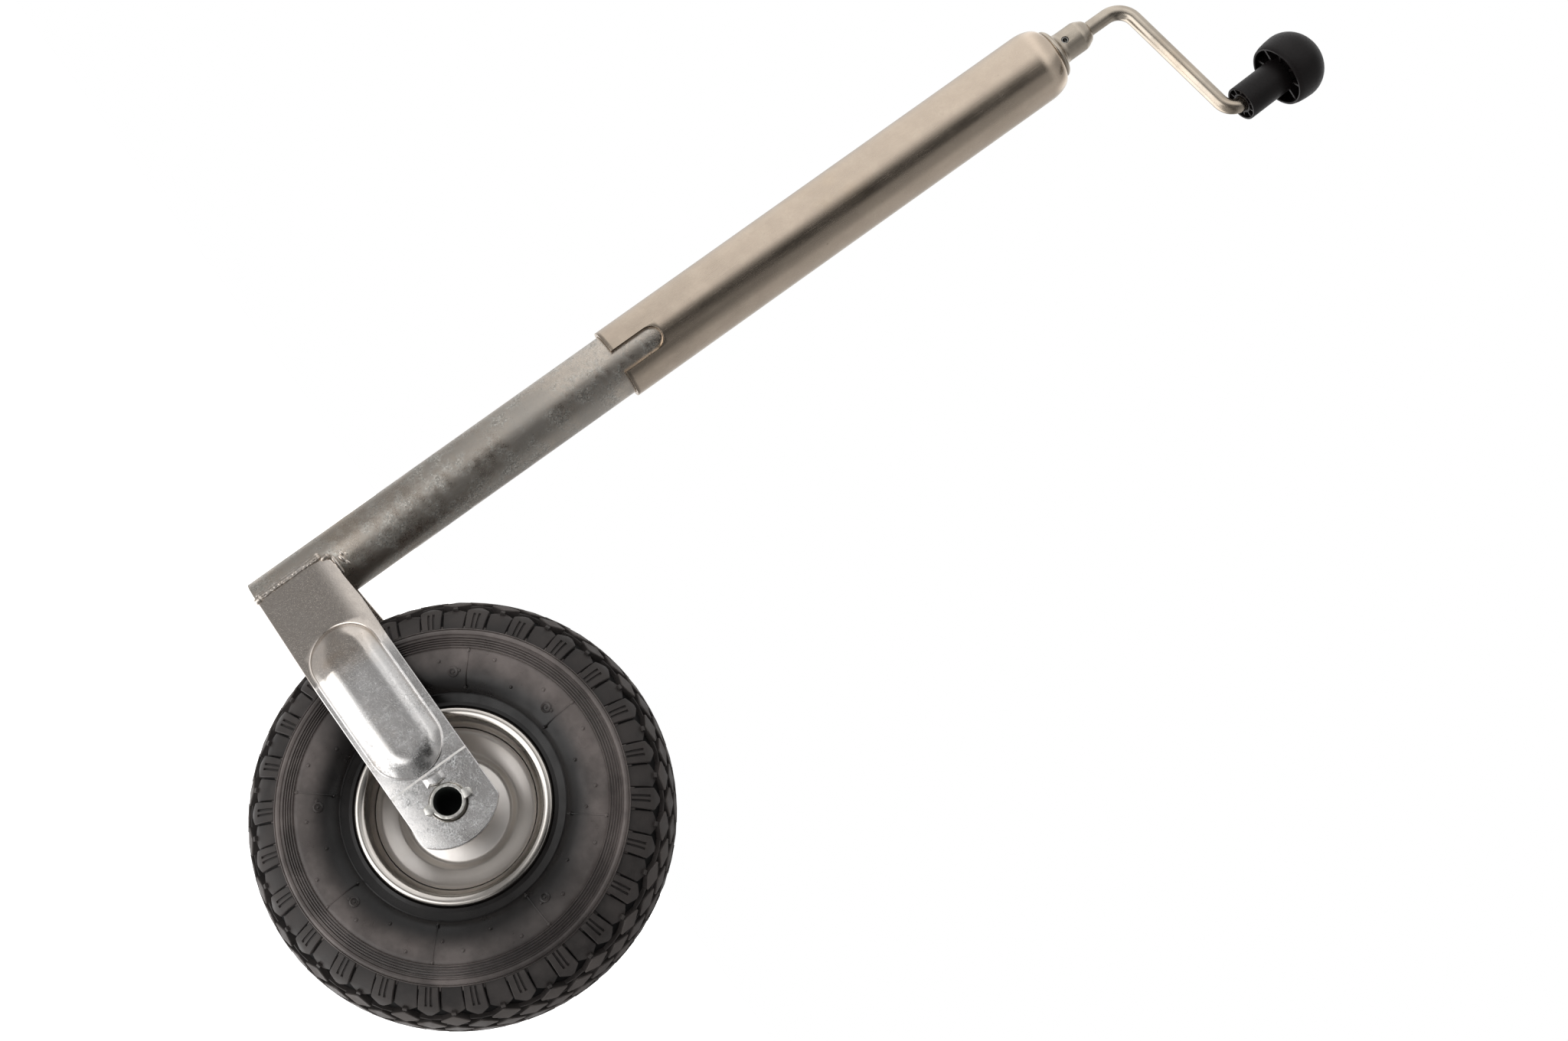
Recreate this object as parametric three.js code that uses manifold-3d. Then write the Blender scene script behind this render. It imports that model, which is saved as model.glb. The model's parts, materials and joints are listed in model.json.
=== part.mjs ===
// Trailer tongue jack with a pneumatic jockey wheel, millimetres, +Z up.
// The origin is on the tube axis, halfway along the plain length of the outer tube that the
// trailer's clamp grips. The wheel is carried on a fork towards +X, its axle runs along Y,
// and the crank is on top. The jack is drawn nearly fully wound out.
import * as THREE from 'three';
import { mergeVertices } from 'three/addons/utils/BufferGeometryUtils.js';
import Module from 'manifold-3d';

const wasm = await Module();
wasm.setup();

// ---------------------------------------------------------------- driving dimensions
const gap = 0.3;                 // between solids that touch on the real jack
const smallSides = 24;           // facets of small turned pieces
const tubeSides = 40;
const wheelSides = 32;
const rad = THREE.MathUtils.degToRad;

// outer tube
const outerR = 24;               // standard 48 mm clamp tube
const outerBoreR = 21.5;
const plainHalf = 150;           // half of the length that the clamp may grip
const mouthZ = -183;             // open lower end
const domeTopZ = 165.5;
const domeTopR = 17;
const domeThickness = 3.5;
const slotWidth = 16.4;
const slotTurn = 17.2;           // degrees that the slots are turned from the fork plates

// inner tube and fork
const innerR = 21;               // 42 mm tube
const innerBoreR = 18.5;
const innerBottomZ = -451.5;
const innerTopZ = -101.5;
const axleX = 178;               // wheel offset from the tube axis
const axleZ = -424;
const plate = 3;                 // fork plate thickness
const armHalfWidth = 27;
const armEndX = 204.5;
const armEndR = 34;              // radius of the rounded outline at the axle end
const armAtTube = 24.3;          // outer face of the plate where it is welded to the tube
const bendX = 72;                // first bend, where the splayed part ends
const armAtBend = 47;
const creaseX = 157;             // second, slight bend in front of the axle
const armAtAxle = 49;
const pocketHeight = 6;
const pocketR = 22;
const pocketFromX = 67;          // centres of the pocket's round ends
const pocketToX = 132.5;
const pocketDrop = 1;            // the pocket sits this far below the plate's centre line

// wheel
const tyreR = 130;               // 260 x 85 tyre
const tyreHalfWidth = 42;
const tyreRoundness = 2.4;
const beadSeatR = 50.8;          // 4 inch rim
const flangeR = 59.8;
const flangeY = 34;
const axleR = 10.65;             // 21.3 mm pipe
const axleBoreR = 8.35;
const axleHalf = 52.5;
const hubR = 16;

// spindle and thrust bearing
const threadR = 9.5;             // mean radius of the trapezoidal thread
const journalR = 6;
const spindleBottomZ = -164;
const collarTopZ = 151.8;
const ballR = 2;
const ballCount = 8;
const ballPitchR = 10.2;
const ballZ = 156.9;

// crank
const rodR = 5;
const socketR = 10.2;
const flangeTopZ = 172.6;
const socketTopZ = 196.5;
const pinHoleZ = 176.7;
const crankBendZ = 223.8;        // where the centre lines of the upright and the arm would meet
const crankArm = new THREE.Vector3(101.8, 0, 9);
const pinLean = new THREE.Vector3(-0.07, 0.158, 1);
const pinLength = 62;

// knob, measured along the crank pin from the second bend
const sleeveR = 11.7;
const sleeveFrom = 9.5;
const headR = 22.9;
const headRimZ = 42;
const headMiddleZ = 55;
const headTopZ = 75;
const headRibCount = 8;

// ---------------------------------------------------------------- materials
function metal(color, roughness) {
  return new THREE.MeshStandardMaterial({ color, roughness, metalness: 0.9 });
}
function plastic(color, roughness) {
  return new THREE.MeshStandardMaterial({ color, roughness, metalness: 0 });
}
const zinc = metal(0xb4ab9f, 0.38);
const dullZinc = metal(0xa5a098, 0.5);
const brightZinc = metal(0xc3c2bd, 0.3);
const rimSteel = metal(0xb9b7b3, 0.25);
const bareSteel = metal(0x8d8c8a, 0.35);
const bronze = metal(0x9b7748, 0.45);
const nylon = plastic(0xd8d4c6, 0.5);
const blackPlastic = plastic(0x1d1a1a, 0.55);
const rubber = plastic(0x2b2827, 0.8);
const butyl = plastic(0x1b1b1b, 0.6);

// ---------------------------------------------------------------- geometry helpers
// A closed mesh with merged vertices, no flat triangles, and faces pointing out.
function closed(source) {
  const bare = source.index ? source.clone() : mergeVertices(source.clone());
  bare.deleteAttribute('normal');
  bare.deleteAttribute('uv');
  const merged = mergeVertices(bare, 1e-4);
  const place = merged.getAttribute('position');
  const index = merged.getIndex();
  const kept = [];
  let volume = 0;
  const a = new THREE.Vector3();
  const b = new THREE.Vector3();
  const c = new THREE.Vector3();
  for (let i = 0; i < index.count; i += 3) {
    const corner = [index.getX(i), index.getX(i + 1), index.getX(i + 2)];
    if (new Set(corner).size < 3) continue;
    kept.push(...corner);
    a.fromBufferAttribute(place, corner[0]);
    b.fromBufferAttribute(place, corner[1]);
    c.fromBufferAttribute(place, corner[2]);
    volume += a.dot(b.cross(c)) / 6;
  }
  if (volume < 0) {
    for (let i = 0; i < kept.length; i += 3) [kept[i], kept[i + 1]] = [kept[i + 1], kept[i]];
  }
  merged.setIndex(kept);
  return merged;
}

function solid(geometry) {
  const shape = closed(geometry);
  return new wasm.Manifold(new wasm.Mesh({
    numProp: 3,
    vertProperties: new Float32Array(shape.getAttribute('position').array),
    triVerts: new Uint32Array(shape.getIndex().array),
  }));
}

function surface(body) {
  const { vertProperties, triVerts } = body.getMesh();
  const geometry = new THREE.BufferGeometry();
  geometry.setAttribute('position', new THREE.BufferAttribute(new Float32Array(vertProperties), 3));
  geometry.setIndex(Array.from(triVerts));
  return geometry;
}

// A turned piece: profile points are [radius, z].
function turned(profile, segments = smallSides) {
  const points = profile.map(([r, z]) => new THREE.Vector2(r, z));
  return new THREE.LatheGeometry(points, segments).rotateX(Math.PI / 2);
}

// A plain ring or tube about Z.
function ring(innerRadius, outerRadius, bottom, top, segments = smallSides) {
  return turned([
    [innerRadius, bottom], [outerRadius, bottom], [outerRadius, top], [innerRadius, top],
    [innerRadius, bottom],
  ], segments);
}

// A quarter ellipse from (centre + a, z) to (centre, z + b), as [radius, z] points.
function quarter(centreR, centreZ, a, b, steps) {
  return Array.from({ length: steps + 1 }, (_, i) => {
    const turn = (i / steps) * Math.PI / 2;
    return [centreR + a * Math.cos(turn), centreZ + b * Math.sin(turn)];
  });
}

function rod(radius, length, segments = 24) {
  return new THREE.CylinderGeometry(radius, radius, length, segments);
}

const parts = new THREE.Group();

function add(name, geometry, material, parent = parts) {
  const mesh = new THREE.Mesh(closed(geometry), material);
  mesh.name = name;
  parent.add(mesh);
  return mesh;
}

// ---------------------------------------------------------------- outer tube and its top bearing
function slotCutter(turn) {
  const half = slotWidth / 2;
  const roundZ = -plainHalf - half;
  const shape = new THREE.Shape();
  shape.moveTo(-half, mouthZ - 5);
  shape.lineTo(half, mouthZ - 5);
  shape.lineTo(half, roundZ);
  shape.absarc(0, roundZ, half, 0, Math.PI, false);
  shape.closePath();
  const cutter = new THREE.ExtrudeGeometry(shape, { depth: 12, bevelEnabled: false, curveSegments: 12 });
  return solid(cutter.rotateX(Math.PI / 2).translate(0, -18, 0).rotateZ(rad(turn)));
}

function outerTube() {
  const domeBore = 8;
  const innerFlatR = domeTopR - 2.5;
  const domeWall = quarter(domeTopR, plainHalf, outerR - domeTopR, domeTopZ - plainHalf, 5);
  const domeInside = quarter(innerFlatR, 148, outerBoreR - innerFlatR, domeTopZ - domeThickness - 148, 4);
  const profile = [
    [outerBoreR, mouthZ], [outerR, mouthZ],
    ...domeWall,
    [domeBore, domeTopZ], [domeBore, domeTopZ - domeThickness],
    ...domeInside.reverse(),
    [outerBoreR, mouthZ],
  ];
  const tube = solid(turned(profile, tubeSides));
  return surface(tube.subtract(slotCutter(slotTurn)).subtract(slotCutter(slotTurn + 180)));
}

add('outer_tube', outerTube(), zinc);
add('dome_bush', ring(journalR + gap, 8 - gap, 162.2, domeTopZ - 0.2), bronze);
add('thrust_race_upper', ring(8, 13.8, ballZ + ballR + gap, 161.7), bareSteel);
add('thrust_race_lower', ring(journalR + gap, 13.8, collarTopZ + gap, ballZ - ballR - gap), bareSteel);

function ballCage() {
  let cage = solid(ring(7.2, 13.2, ballZ - 0.8, ballZ + 0.8));
  for (let i = 0; i < ballCount; i += 1) {
    const pocket = rod(ballR + gap, 4, 8).rotateX(Math.PI / 2);
    const turn = (i / ballCount) * Math.PI * 2;
    pocket.translate(ballPitchR * Math.cos(turn), ballPitchR * Math.sin(turn), ballZ);
    cage = cage.subtract(solid(pocket));
  }
  return surface(cage);
}

add('thrust_cage', ballCage(), bronze);
for (let i = 0; i < ballCount; i += 1) {
  const turn = (i / ballCount) * Math.PI * 2;
  const ball = add(`thrust_ball_${i + 1}`, new THREE.SphereGeometry(ballR, 8, 6), bareSteel);
  ball.position.set(ballPitchR * Math.cos(turn), ballPitchR * Math.sin(turn), ballZ);
}

// ---------------------------------------------------------------- spindle, its nut and end stop
const crossHoleR = 2.5;
const stopPinZ = -160;

function spindle() {
  const blank = solid(turned([
    [0, spindleBottomZ], [8, spindleBottomZ], [threadR, spindleBottomZ + 1.5], [threadR, 146.8],
    [12, 146.8], [12, collarTopZ], [journalR, collarTopZ], [journalR, 183], [0, 183],
  ]));
  const pinHole = solid(rod(crossHoleR, 30).translate(0, 0, pinHoleZ));
  const stopHole = solid(rod(1.8, 30).translate(0, 0, stopPinZ));
  return surface(blank.subtract(pinHole).subtract(stopHole));
}

add('spindle', spindle(), bareSteel);
add('spindle_stop_pin', rod(1.5, 26).translate(0, 0, stopPinZ), bareSteel);
add('spindle_stop_washer', ring(threadR + gap, 14, -158.2, -155.7), dullZinc);
add('spindle_nut', ring(threadR + gap, innerBoreR - gap, -133.5, -107.5), bronze);
add('guide_ring', turned([
  [12, innerTopZ + gap + 6], [12, innerTopZ + gap], [15.8, innerTopZ + gap], [15.8, -107], [18.2, -107],
  [18.2, innerTopZ + gap], [21.1, innerTopZ + gap], [21.1, innerTopZ + gap + 6],
  [12, innerTopZ + gap + 6],
]), nylon);

// ---------------------------------------------------------------- inner tube and fork
add('inner_tube', ring(innerBoreR, innerR, innerBottomZ, innerTopZ, tubeSides), dullZinc);

// Outer face of the far plate as [x, y], and the same line moved by a distance along Y.
const armFace = [[-1.5, armAtTube], [bendX, armAtBend], [creaseX, armAtAxle], [armEndX + 1, armAtAxle]];

function armSlab(near, far) {
  const shape = new THREE.Shape();
  armFace.forEach(([x, y], i) => (i ? shape.lineTo(x, y + far) : shape.moveTo(x, y + far)));
  [...armFace].reverse().forEach(([x, y]) => shape.lineTo(x, y + near));
  shape.closePath();
  const slab = new THREE.ExtrudeGeometry(shape, { depth: 60, bevelEnabled: false });
  return solid(slab.translate(0, 0, axleZ - 30));
}

// A flat outline in x and z, made into a prism across the fork plate's range of Y.
function armPrism(shape) {
  const prism = new THREE.ExtrudeGeometry(shape, { depth: 60, bevelEnabled: false, curveSegments: 14 });
  return solid(prism.rotateX(Math.PI / 2).translate(0, 70, axleZ));
}

function armOutline() {
  const turn = Math.asin(armHalfWidth / armEndR);
  const centreX = armEndX - armEndR;
  const shape = new THREE.Shape();
  shape.moveTo(-1.5, -armHalfWidth);
  shape.lineTo(centreX + armEndR * Math.cos(turn), -armHalfWidth);
  shape.absarc(centreX, 0, armEndR, -turn, turn, false);
  shape.lineTo(38, armHalfWidth);
  shape.lineTo(-1.5, armHalfWidth - 3.5);
  shape.closePath();
  return shape;
}

function stadium(radius) {
  const shape = new THREE.Shape();
  shape.absarc(pocketFromX, -pocketDrop, radius, Math.PI / 2, Math.PI * 1.5, false);
  shape.absarc(pocketToX, -pocketDrop, radius, -Math.PI / 2, Math.PI / 2, false);
  shape.closePath();
  return shape;
}

function forkArm() {
  const sheet = armSlab(-plate, 0).intersect(armPrism(armOutline()));
  const raised = armSlab(-plate, pocketHeight).intersect(armPrism(stadium(pocketR)));
  const hollow = armSlab(-plate - 4, pocketHeight - plate).intersect(armPrism(stadium(pocketR - plate)));
  const axleHole = solid(rod(axleR + 1.1, 40, 32).translate(axleX, 50, axleZ));
  return surface(sheet.add(raised).subtract(hollow).subtract(axleHole));
}

add('fork_arm_far', forkArm(), brightZinc);
add('fork_arm_near', forkArm().scale(1, -1, 1), brightZinc);

// ---------------------------------------------------------------- axle, drawn along Z, turned to Y
const wheel = new THREE.Group();
wheel.position.set(axleX, 0, axleZ);
wheel.rotation.x = Math.PI / 2;
parts.add(wheel);

// The axle's ends are upset into two lugs each, which keep it in the fork plates.
function axle() {
  let body = solid(ring(axleBoreR, axleR, -axleHalf, axleHalf));
  for (const end of [-1, 1]) {
    for (const side of [-1, 1]) {
      const lug = new THREE.BoxGeometry(4.5, 5, axleHalf - armAtAxle - gap);
      lug.translate(0, side * (axleR + 1.3), end * (armAtAxle + axleHalf + gap) / 2);
      body = body.add(solid(lug.rotateZ(rad(-10))));
    }
  }
  return surface(body);
}

const washerFrom = 44.1;
const washerTo = armAtAxle - plate - gap;
add('axle_tube', axle(), dullZinc, wheel);
add('axle_washer_far', ring(axleR + gap, 15, -washerTo, -washerFrom), dullZinc, wheel);
add('axle_washer_near', ring(axleR + gap, 15, washerFrom, washerTo), dullZinc, wheel);

// ---------------------------------------------------------------- wheel
function bush(side) {
  const profile = [
    [axleR + gap, 24], [12.7, 24], [12.7, 42.3], [15.5, 42.3], [15.5, 43.8], [axleR + gap, 43.8],
    [axleR + gap, 24],
  ];
  return turned(profile.map(([r, z]) => [r, side * z]));
}

add('hub_tube', ring(13, hubR, -42, 42), bareSteel, wheel);
add('hub_bush_near', bush(1), nylon, wheel);
add('hub_bush_far', bush(-1), nylon, wheel);

// Rolled rim: a drop centre, two bead seats and two flanges with a curled edge.
function rimBarrel() {
  const sheet = 2;
  const outside = [
    [45.4, 5], [beadSeatR, 10], [beadSeatR, 29.5], [52.5, 31.2], [58.4, 31.8],
    [flangeR, flangeY], [58.4, flangeY + 1.4],
  ];
  const inside = [
    [55.8, flangeY], [51.4, 33.4], [beadSeatR - sheet, 30.5], [beadSeatR - sheet, 11], [43.4, 6],
  ];
  const half = [...outside, ...inside];
  const mirrored = half.map(([r, z]) => [r, -z]).reverse();
  return solid(turned([...half, ...mirrored, half[0]], wheelSides));
}

function valveHole(radius) {
  return solid(rod(radius, 30, 16).rotateZ(Math.PI / 2).translate(45, 0, 0));
}

function discProfile(side) {
  const profile = [
    [hubR + gap, 11], [31, 11], [36.2, 13.9], [45, 17.6], [48.3, 20.4], [48.3, 28], [46.6, 28],
    [46.6, 21.5], [44.2, 19.6], [35.4, 15.9], [30.4, 13], [hubR + gap, 13], [hubR + gap, 11],
  ];
  return turned(profile.map(([r, z]) => [r, side * z]));
}

const valveR = 4;
add('rim_barrel', surface(rimBarrel().subtract(valveHole(valveR + 1))), rimSteel, wheel);
add('wheel_disc_near', discProfile(1), rimSteel, wheel);
const discHole = solid(rod(valveR + 1, 30, 16).rotateX(Math.PI / 2).translate(38, 0, -20));
add('wheel_disc_far', surface(solid(discProfile(-1)).subtract(discHole)), rimSteel, wheel);

// A rounded tyre section between two angles around its middle, as [radius, z] points.
function section(middleR, halfHeight, halfWidth, fromTurn, toTurn, steps) {
  return Array.from({ length: steps + 1 }, (_, i) => {
    const turn = fromTurn + (toTurn - fromTurn) * (i / steps);
    const power = 2 / tyreRoundness;
    const round = (v) => Math.sign(v) * Math.abs(v) ** power;
    return [middleR + halfHeight * round(Math.cos(turn)), halfWidth * round(Math.sin(turn))];
  });
}

function tyre() {
  const open = rad(128);
  const outside = section(tyreR - 40, 40, tyreHalfWidth, -open, open, 12);
  const inside = section(tyreR - 42, 33, tyreHalfWidth - 6, open - 0.12, -open + 0.12, 7);
  const toe = [beadSeatR + gap, 19];
  const bead = [[60.5, 33.4], [58.4, 31.1], [53, 30.5], [beadSeatR + gap, 28.8], toe];
  const otherBead = bead.map(([r, z]) => [r, -z]).reverse();
  return turned([...otherBead, ...outside, ...bead, ...inside, otherBead[0]], wheelSides);
}

add('tyre', tyre(), rubber, wheel);

function airTube() {
  const outside = section(87, 31, 34, -Math.PI, Math.PI, 10);
  const inside = section(87, 29, 32, -Math.PI, Math.PI, 10);
  const torus = solid(turned(outside));
  const air = solid(turned(inside));
  const mouth = solid(rod(1.5, 20, 12).rotateZ(Math.PI / 2).translate(58, 0, 0));
  return surface(torus.subtract(air).subtract(mouth));
}

add('air_tube', airTube(), butyl, wheel);

// ---------------------------------------------------------------- bent round bars
// The arc that rounds a corner between two straight stretches.
class CornerArc extends THREE.Curve {
  constructor(corner, before, after, radius) {
    super();
    this.turn = before.angleTo(after);
    this.reach = radius * Math.tan(this.turn / 2);
    this.start = corner.clone().addScaledVector(before, -this.reach);
    this.end = corner.clone().addScaledVector(after, this.reach);
    this.before = before;
    this.inward = after.clone().addScaledVector(before, -after.dot(before)).normalize();
    this.radius = radius;
  }

  getPoint(t, target = new THREE.Vector3()) {
    const angle = this.turn * t;
    return target.copy(this.start)
      .addScaledVector(this.before, this.radius * Math.sin(angle))
      .addScaledVector(this.inward, this.radius * (1 - Math.cos(angle)));
  }
}

// A centre line through the corners, rounded with one radius for each inner corner.
function bentLine(corners, radii) {
  const path = new THREE.CurvePath();
  let from = corners[0];
  for (let i = 1; i < corners.length - 1; i += 1) {
    const before = corners[i].clone().sub(corners[i - 1]).normalize();
    const after = corners[i + 1].clone().sub(corners[i]).normalize();
    const arc = new CornerArc(corners[i], before, after, radii[i - 1]);
    path.add(new THREE.LineCurve3(from, arc.start));
    path.add(arc);
    from = arc.end;
  }
  path.add(new THREE.LineCurve3(from, corners[corners.length - 1]));
  return path;
}

function roundBar(path, radius, steps, sides) {
  const circle = new THREE.EllipseCurve(0, 0, radius, radius, 0, Math.PI * 2);
  const outline = new THREE.Shape(circle.getPoints(sides).slice(0, -1));
  return new THREE.ExtrudeGeometry(outline, { steps, extrudePath: path });
}

// The valve leaves the air tube, passes the drop centre and turns out through the far disc.
const stemPath = bentLine([
  new THREE.Vector3(54, 0, 0), new THREE.Vector3(38, 0, 0), new THREE.Vector3(38, 0, -33),
], [8]);
add('valve_stem', roundBar(stemPath, valveR, 16, 10), bareSteel, wheel);
add('valve_cap', ring(valveR + gap, 6, -38, -29, 20), blackPlastic, wheel);

// ---------------------------------------------------------------- crank
function crankSocket() {
  const body = solid(turned([
    [0, 183 + gap], [journalR + gap, 183 + gap], [journalR + gap, domeTopZ + gap],
    [domeTopR - 0.6, domeTopZ + gap], [domeTopR, domeTopZ + 0.9], [domeTopR, 167.8],
    [15.8, 169.6], [13, 170.8], [11.2, 171.6], [socketR, flangeTopZ], [socketR, 188],
    [7.6, 194.6], [rodR + gap, socketTopZ], [rodR + gap, 186.3], [0, 186.3],
  ]));
  return surface(body.subtract(solid(rod(crossHoleR, 30).translate(0, 0, pinHoleZ))));
}

add('crank_socket', crankSocket(), zinc);

// A rolled spring pin with its slit on top.
function springPin() {
  const tube = solid(ring(1.6, 2.2, -9.5, 9.5, 24));
  const slit = solid(new THREE.BoxGeometry(0.8, 4, 30).translate(0, 2, 0));
  return surface(tube.subtract(slit)).rotateX(Math.PI / 2).translate(0, 0, pinHoleZ);
}

add('crank_spring_pin', springPin(), bareSteel);

const bendPoint = new THREE.Vector3(0, 0, crankBendZ);
const knobPoint = bendPoint.clone().add(crankArm);
const pinAxis = pinLean.normalize();
const crankPath = bentLine([
  new THREE.Vector3(0, 0, 186.3 + gap), bendPoint, knobPoint,
  knobPoint.clone().addScaledVector(pinAxis, pinLength),
], [14, 10]);
add('crank_rod', roundBar(crankPath, rodR, 42, 10), zinc);

// ---------------------------------------------------------------- knob, drawn about its own axis
const knob = new THREE.Group();
knob.position.copy(knobPoint);
knob.quaternion.setFromUnitVectors(new THREE.Vector3(0, 0, 1), pinAxis);
parts.add(knob);

add('knob_push_nut', ring(rodR + gap, 7.6, 60.4, 61.2, 24), bareSteel, knob);
add('knob_sleeve', turned([
  [10, sleeveFrom], [sleeveR, sleeveFrom], [sleeveR, 44], [8.2, 44], [8.2, 60], [rodR + gap, 60],
  [rodR + gap, 18], [10, 18], [10, sleeveFrom],
]), blackPlastic, knob);

// The head is a hollow shell with a hub that takes the sleeve, and ribs between hub and shell.
function knobHead() {
  const dome = quarter(0, headMiddleZ, headR, headTopZ - headMiddleZ, 6);
  const outside = solid(turned([[0, headRimZ], [21, headRimZ], [22.3, 48], ...dome]));
  const insideDome = quarter(0, headMiddleZ, headR - 2, headTopZ - 2.5 - headMiddleZ, 6);
  const inside = solid(turned([[0, headRimZ - 1], [19.2, headRimZ - 1], [20.3, 48], ...insideDome]));
  let head = outside.subtract(inside);
  const hub = solid(ring(8.5, 10.4, 45, 70));
  const crown = solid(turned([[0, 62.5], [19, 62.5], [19, 76], [0, 76]]));
  let inner = hub.add(crown);
  for (let i = 0; i < headRibCount; i += 1) {
    const rib = new THREE.BoxGeometry(12, 1.4, 20).translate(15.5, 0, 55);
    inner = inner.add(solid(rib.rotateZ((i / headRibCount) * Math.PI * 2)));
  }
  const clear = solid(turned([[0, 40], [sleeveR + gap, 40], [sleeveR + gap, 44.3], [0, 44.3]]));
  head = head.add(inner.intersect(outside)).subtract(clear);
  return surface(head);
}

add('knob_head', knobHead(), blackPlastic, knob);

export default parts;
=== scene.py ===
"""Looks of a trailer tongue jack with an air-filled jockey wheel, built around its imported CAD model.

Shapes are worked out in millimetres in the frame's axes (+Z up the tube, +X to the wheel) and are
scaled to metres when an object is made. Wheel pieces are drawn about their own axis along local Z,
with local +Z towards the near side, and knob pieces about the crank's pin.
"""

import json
from bisect import bisect_right
from math import asin, atan2, cos, pi, radians, sin, sqrt, tan
from operator import itemgetter

import bmesh
import bpy
from mathutils import Matrix, Vector, noise
from mathutils.geometry import delaunay_2d_cdt


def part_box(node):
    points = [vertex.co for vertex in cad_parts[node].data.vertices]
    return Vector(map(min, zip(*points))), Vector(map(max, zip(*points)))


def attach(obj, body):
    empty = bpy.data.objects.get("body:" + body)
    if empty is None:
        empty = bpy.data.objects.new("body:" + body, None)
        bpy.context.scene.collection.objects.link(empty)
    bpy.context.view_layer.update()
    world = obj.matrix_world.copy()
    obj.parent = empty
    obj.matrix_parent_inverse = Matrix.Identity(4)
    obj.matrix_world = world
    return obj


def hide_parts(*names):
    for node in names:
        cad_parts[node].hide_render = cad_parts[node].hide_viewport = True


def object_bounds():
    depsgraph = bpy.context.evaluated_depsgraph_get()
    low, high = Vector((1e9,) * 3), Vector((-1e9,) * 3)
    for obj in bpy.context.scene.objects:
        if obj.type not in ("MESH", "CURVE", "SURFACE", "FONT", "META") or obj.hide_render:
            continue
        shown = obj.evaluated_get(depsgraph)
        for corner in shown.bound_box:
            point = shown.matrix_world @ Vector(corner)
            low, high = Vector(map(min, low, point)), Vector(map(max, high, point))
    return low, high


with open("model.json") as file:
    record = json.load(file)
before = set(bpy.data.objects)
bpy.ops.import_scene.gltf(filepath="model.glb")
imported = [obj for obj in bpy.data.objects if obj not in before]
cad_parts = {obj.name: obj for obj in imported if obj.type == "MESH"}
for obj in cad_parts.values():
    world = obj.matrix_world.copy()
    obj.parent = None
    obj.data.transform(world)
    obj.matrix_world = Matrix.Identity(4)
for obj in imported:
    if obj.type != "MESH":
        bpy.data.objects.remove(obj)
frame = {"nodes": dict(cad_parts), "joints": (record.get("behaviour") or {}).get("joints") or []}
cad_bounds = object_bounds()
MM = 0.001
SIDES = (("near", -1), ("far", 1))       # and the sign of their Y


def box_mm(node):
    """A CAD node's lowest and highest corners in millimetres."""
    low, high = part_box(node)
    return low / MM, high / MM


# ---------------------------------------------------------------- sizes, millimetres
tube_low, tube_high = box_mm("outer_tube")
TUBE_R, MOUTH_Z, DOME_TOP_Z = tube_high.x, tube_low.z, tube_high.z
TUBE_BORE_R = 21.5
DOME_FROM_Z = 150
DOME_TOP_R = 17
DOME_WALL = 3.5
DOME_BORE_R = 8
SLOT_TOP_Z = -150
SLOT_WIDTH = 16.4
SLOT_TURN = 17.2                 # degrees from the fork plates

inner_low, inner_high = box_mm("inner_tube")
INNER_R, INNER_BOTTOM_Z, INNER_TOP_Z = inner_high.x, inner_low.z, inner_high.z
INNER_BORE_R = 18.5

tyre_low, tyre_high = box_mm("tyre")
AXLE = (tyre_low + tyre_high) / 2
TYRE_R, TYRE_HALF_WIDTH = (tyre_high.x - tyre_low.x) / 2, 42
TYRE_ROUNDNESS = 2.4
TYRE_MIDDLE_R = 90
TREAD_FROM_R = 0.1085            # metres, where the side wall's grooves begin
RUBBER_SPECULAR = 0.36

PLATE = 3
ARM_HALF_WIDTH = 27
ARM_FROM_X, ARM_END_X, ARM_END_R = -1.5, 204.5, 34
ARM_FACE = ((-1.5, 24.3), (72, 47), (157, 49), (206, 49))   # the outer face's x and |y|
CREASE_X = 156.4                 # the second bend's crease, drawn with a painted highlight line
POCKET_FROM_X, POCKET_TO_X, POCKET_R, POCKET_DROP = 67, 132.5, 22, 1
POCKET_HEIGHT, POCKET_WALL = 6, 12

AXLE_R, AXLE_BORE_R, AXLE_HALF = 10.65, 8.35, 52.5
AXLE_HOLE_R = 11.75
HUB_R = 16

ROD_R = 5
CRANK_BEND_Z = 223.8
CRANK_ARM = Vector((101.8, 0, 9))
PIN_AXIS = Vector((-0.07, 0.158, 1)).normalized()
PIN_LENGTH = 62
PIN_HOLE_Z = 176.7

WHEEL_PLACE = Matrix.Translation(AXLE) @ Matrix.Rotation(pi / 2, 4, "X")
KNOB_POINT = Vector((0, 0, CRANK_BEND_Z)) + CRANK_ARM
KNOB_PLACE = Matrix.Translation(KNOB_POINT) @ PIN_AXIS.to_track_quat("Z", "Y").to_matrix().to_4x4()


# ---------------------------------------------------------------- mesh helpers
def quads(rows, columns, closed=True):
    """Faces between rows of points that lie one after another. Closed rows join end to start."""
    faces = []
    for k in range(rows - 1):
        for i in range(columns if closed else columns - 1):
            j = (i + 1) % columns
            faces.append([k * columns + i, k * columns + j, (k + 1) * columns + j, (k + 1) * columns + i])
    return faces


def tube_faces(rows, columns):
    """Faces of a closed body: the sides between its closed rows, and its two ends."""
    first = list(range(columns))
    return quads(rows, columns) + [first[::-1], [(rows - 1) * columns + i for i in first]]


class Shape:
    """Vertices in millimetres and faces, put together from several closed shells."""

    def __init__(self):
        self.points = []
        self.faces = []

    def add(self, points, faces, place=None):
        base = len(self.points)
        self.points += [place @ Vector(p) if place else Vector(p) for p in points]
        self.faces += [[i + base for i in face] for face in faces]
        return self


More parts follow.
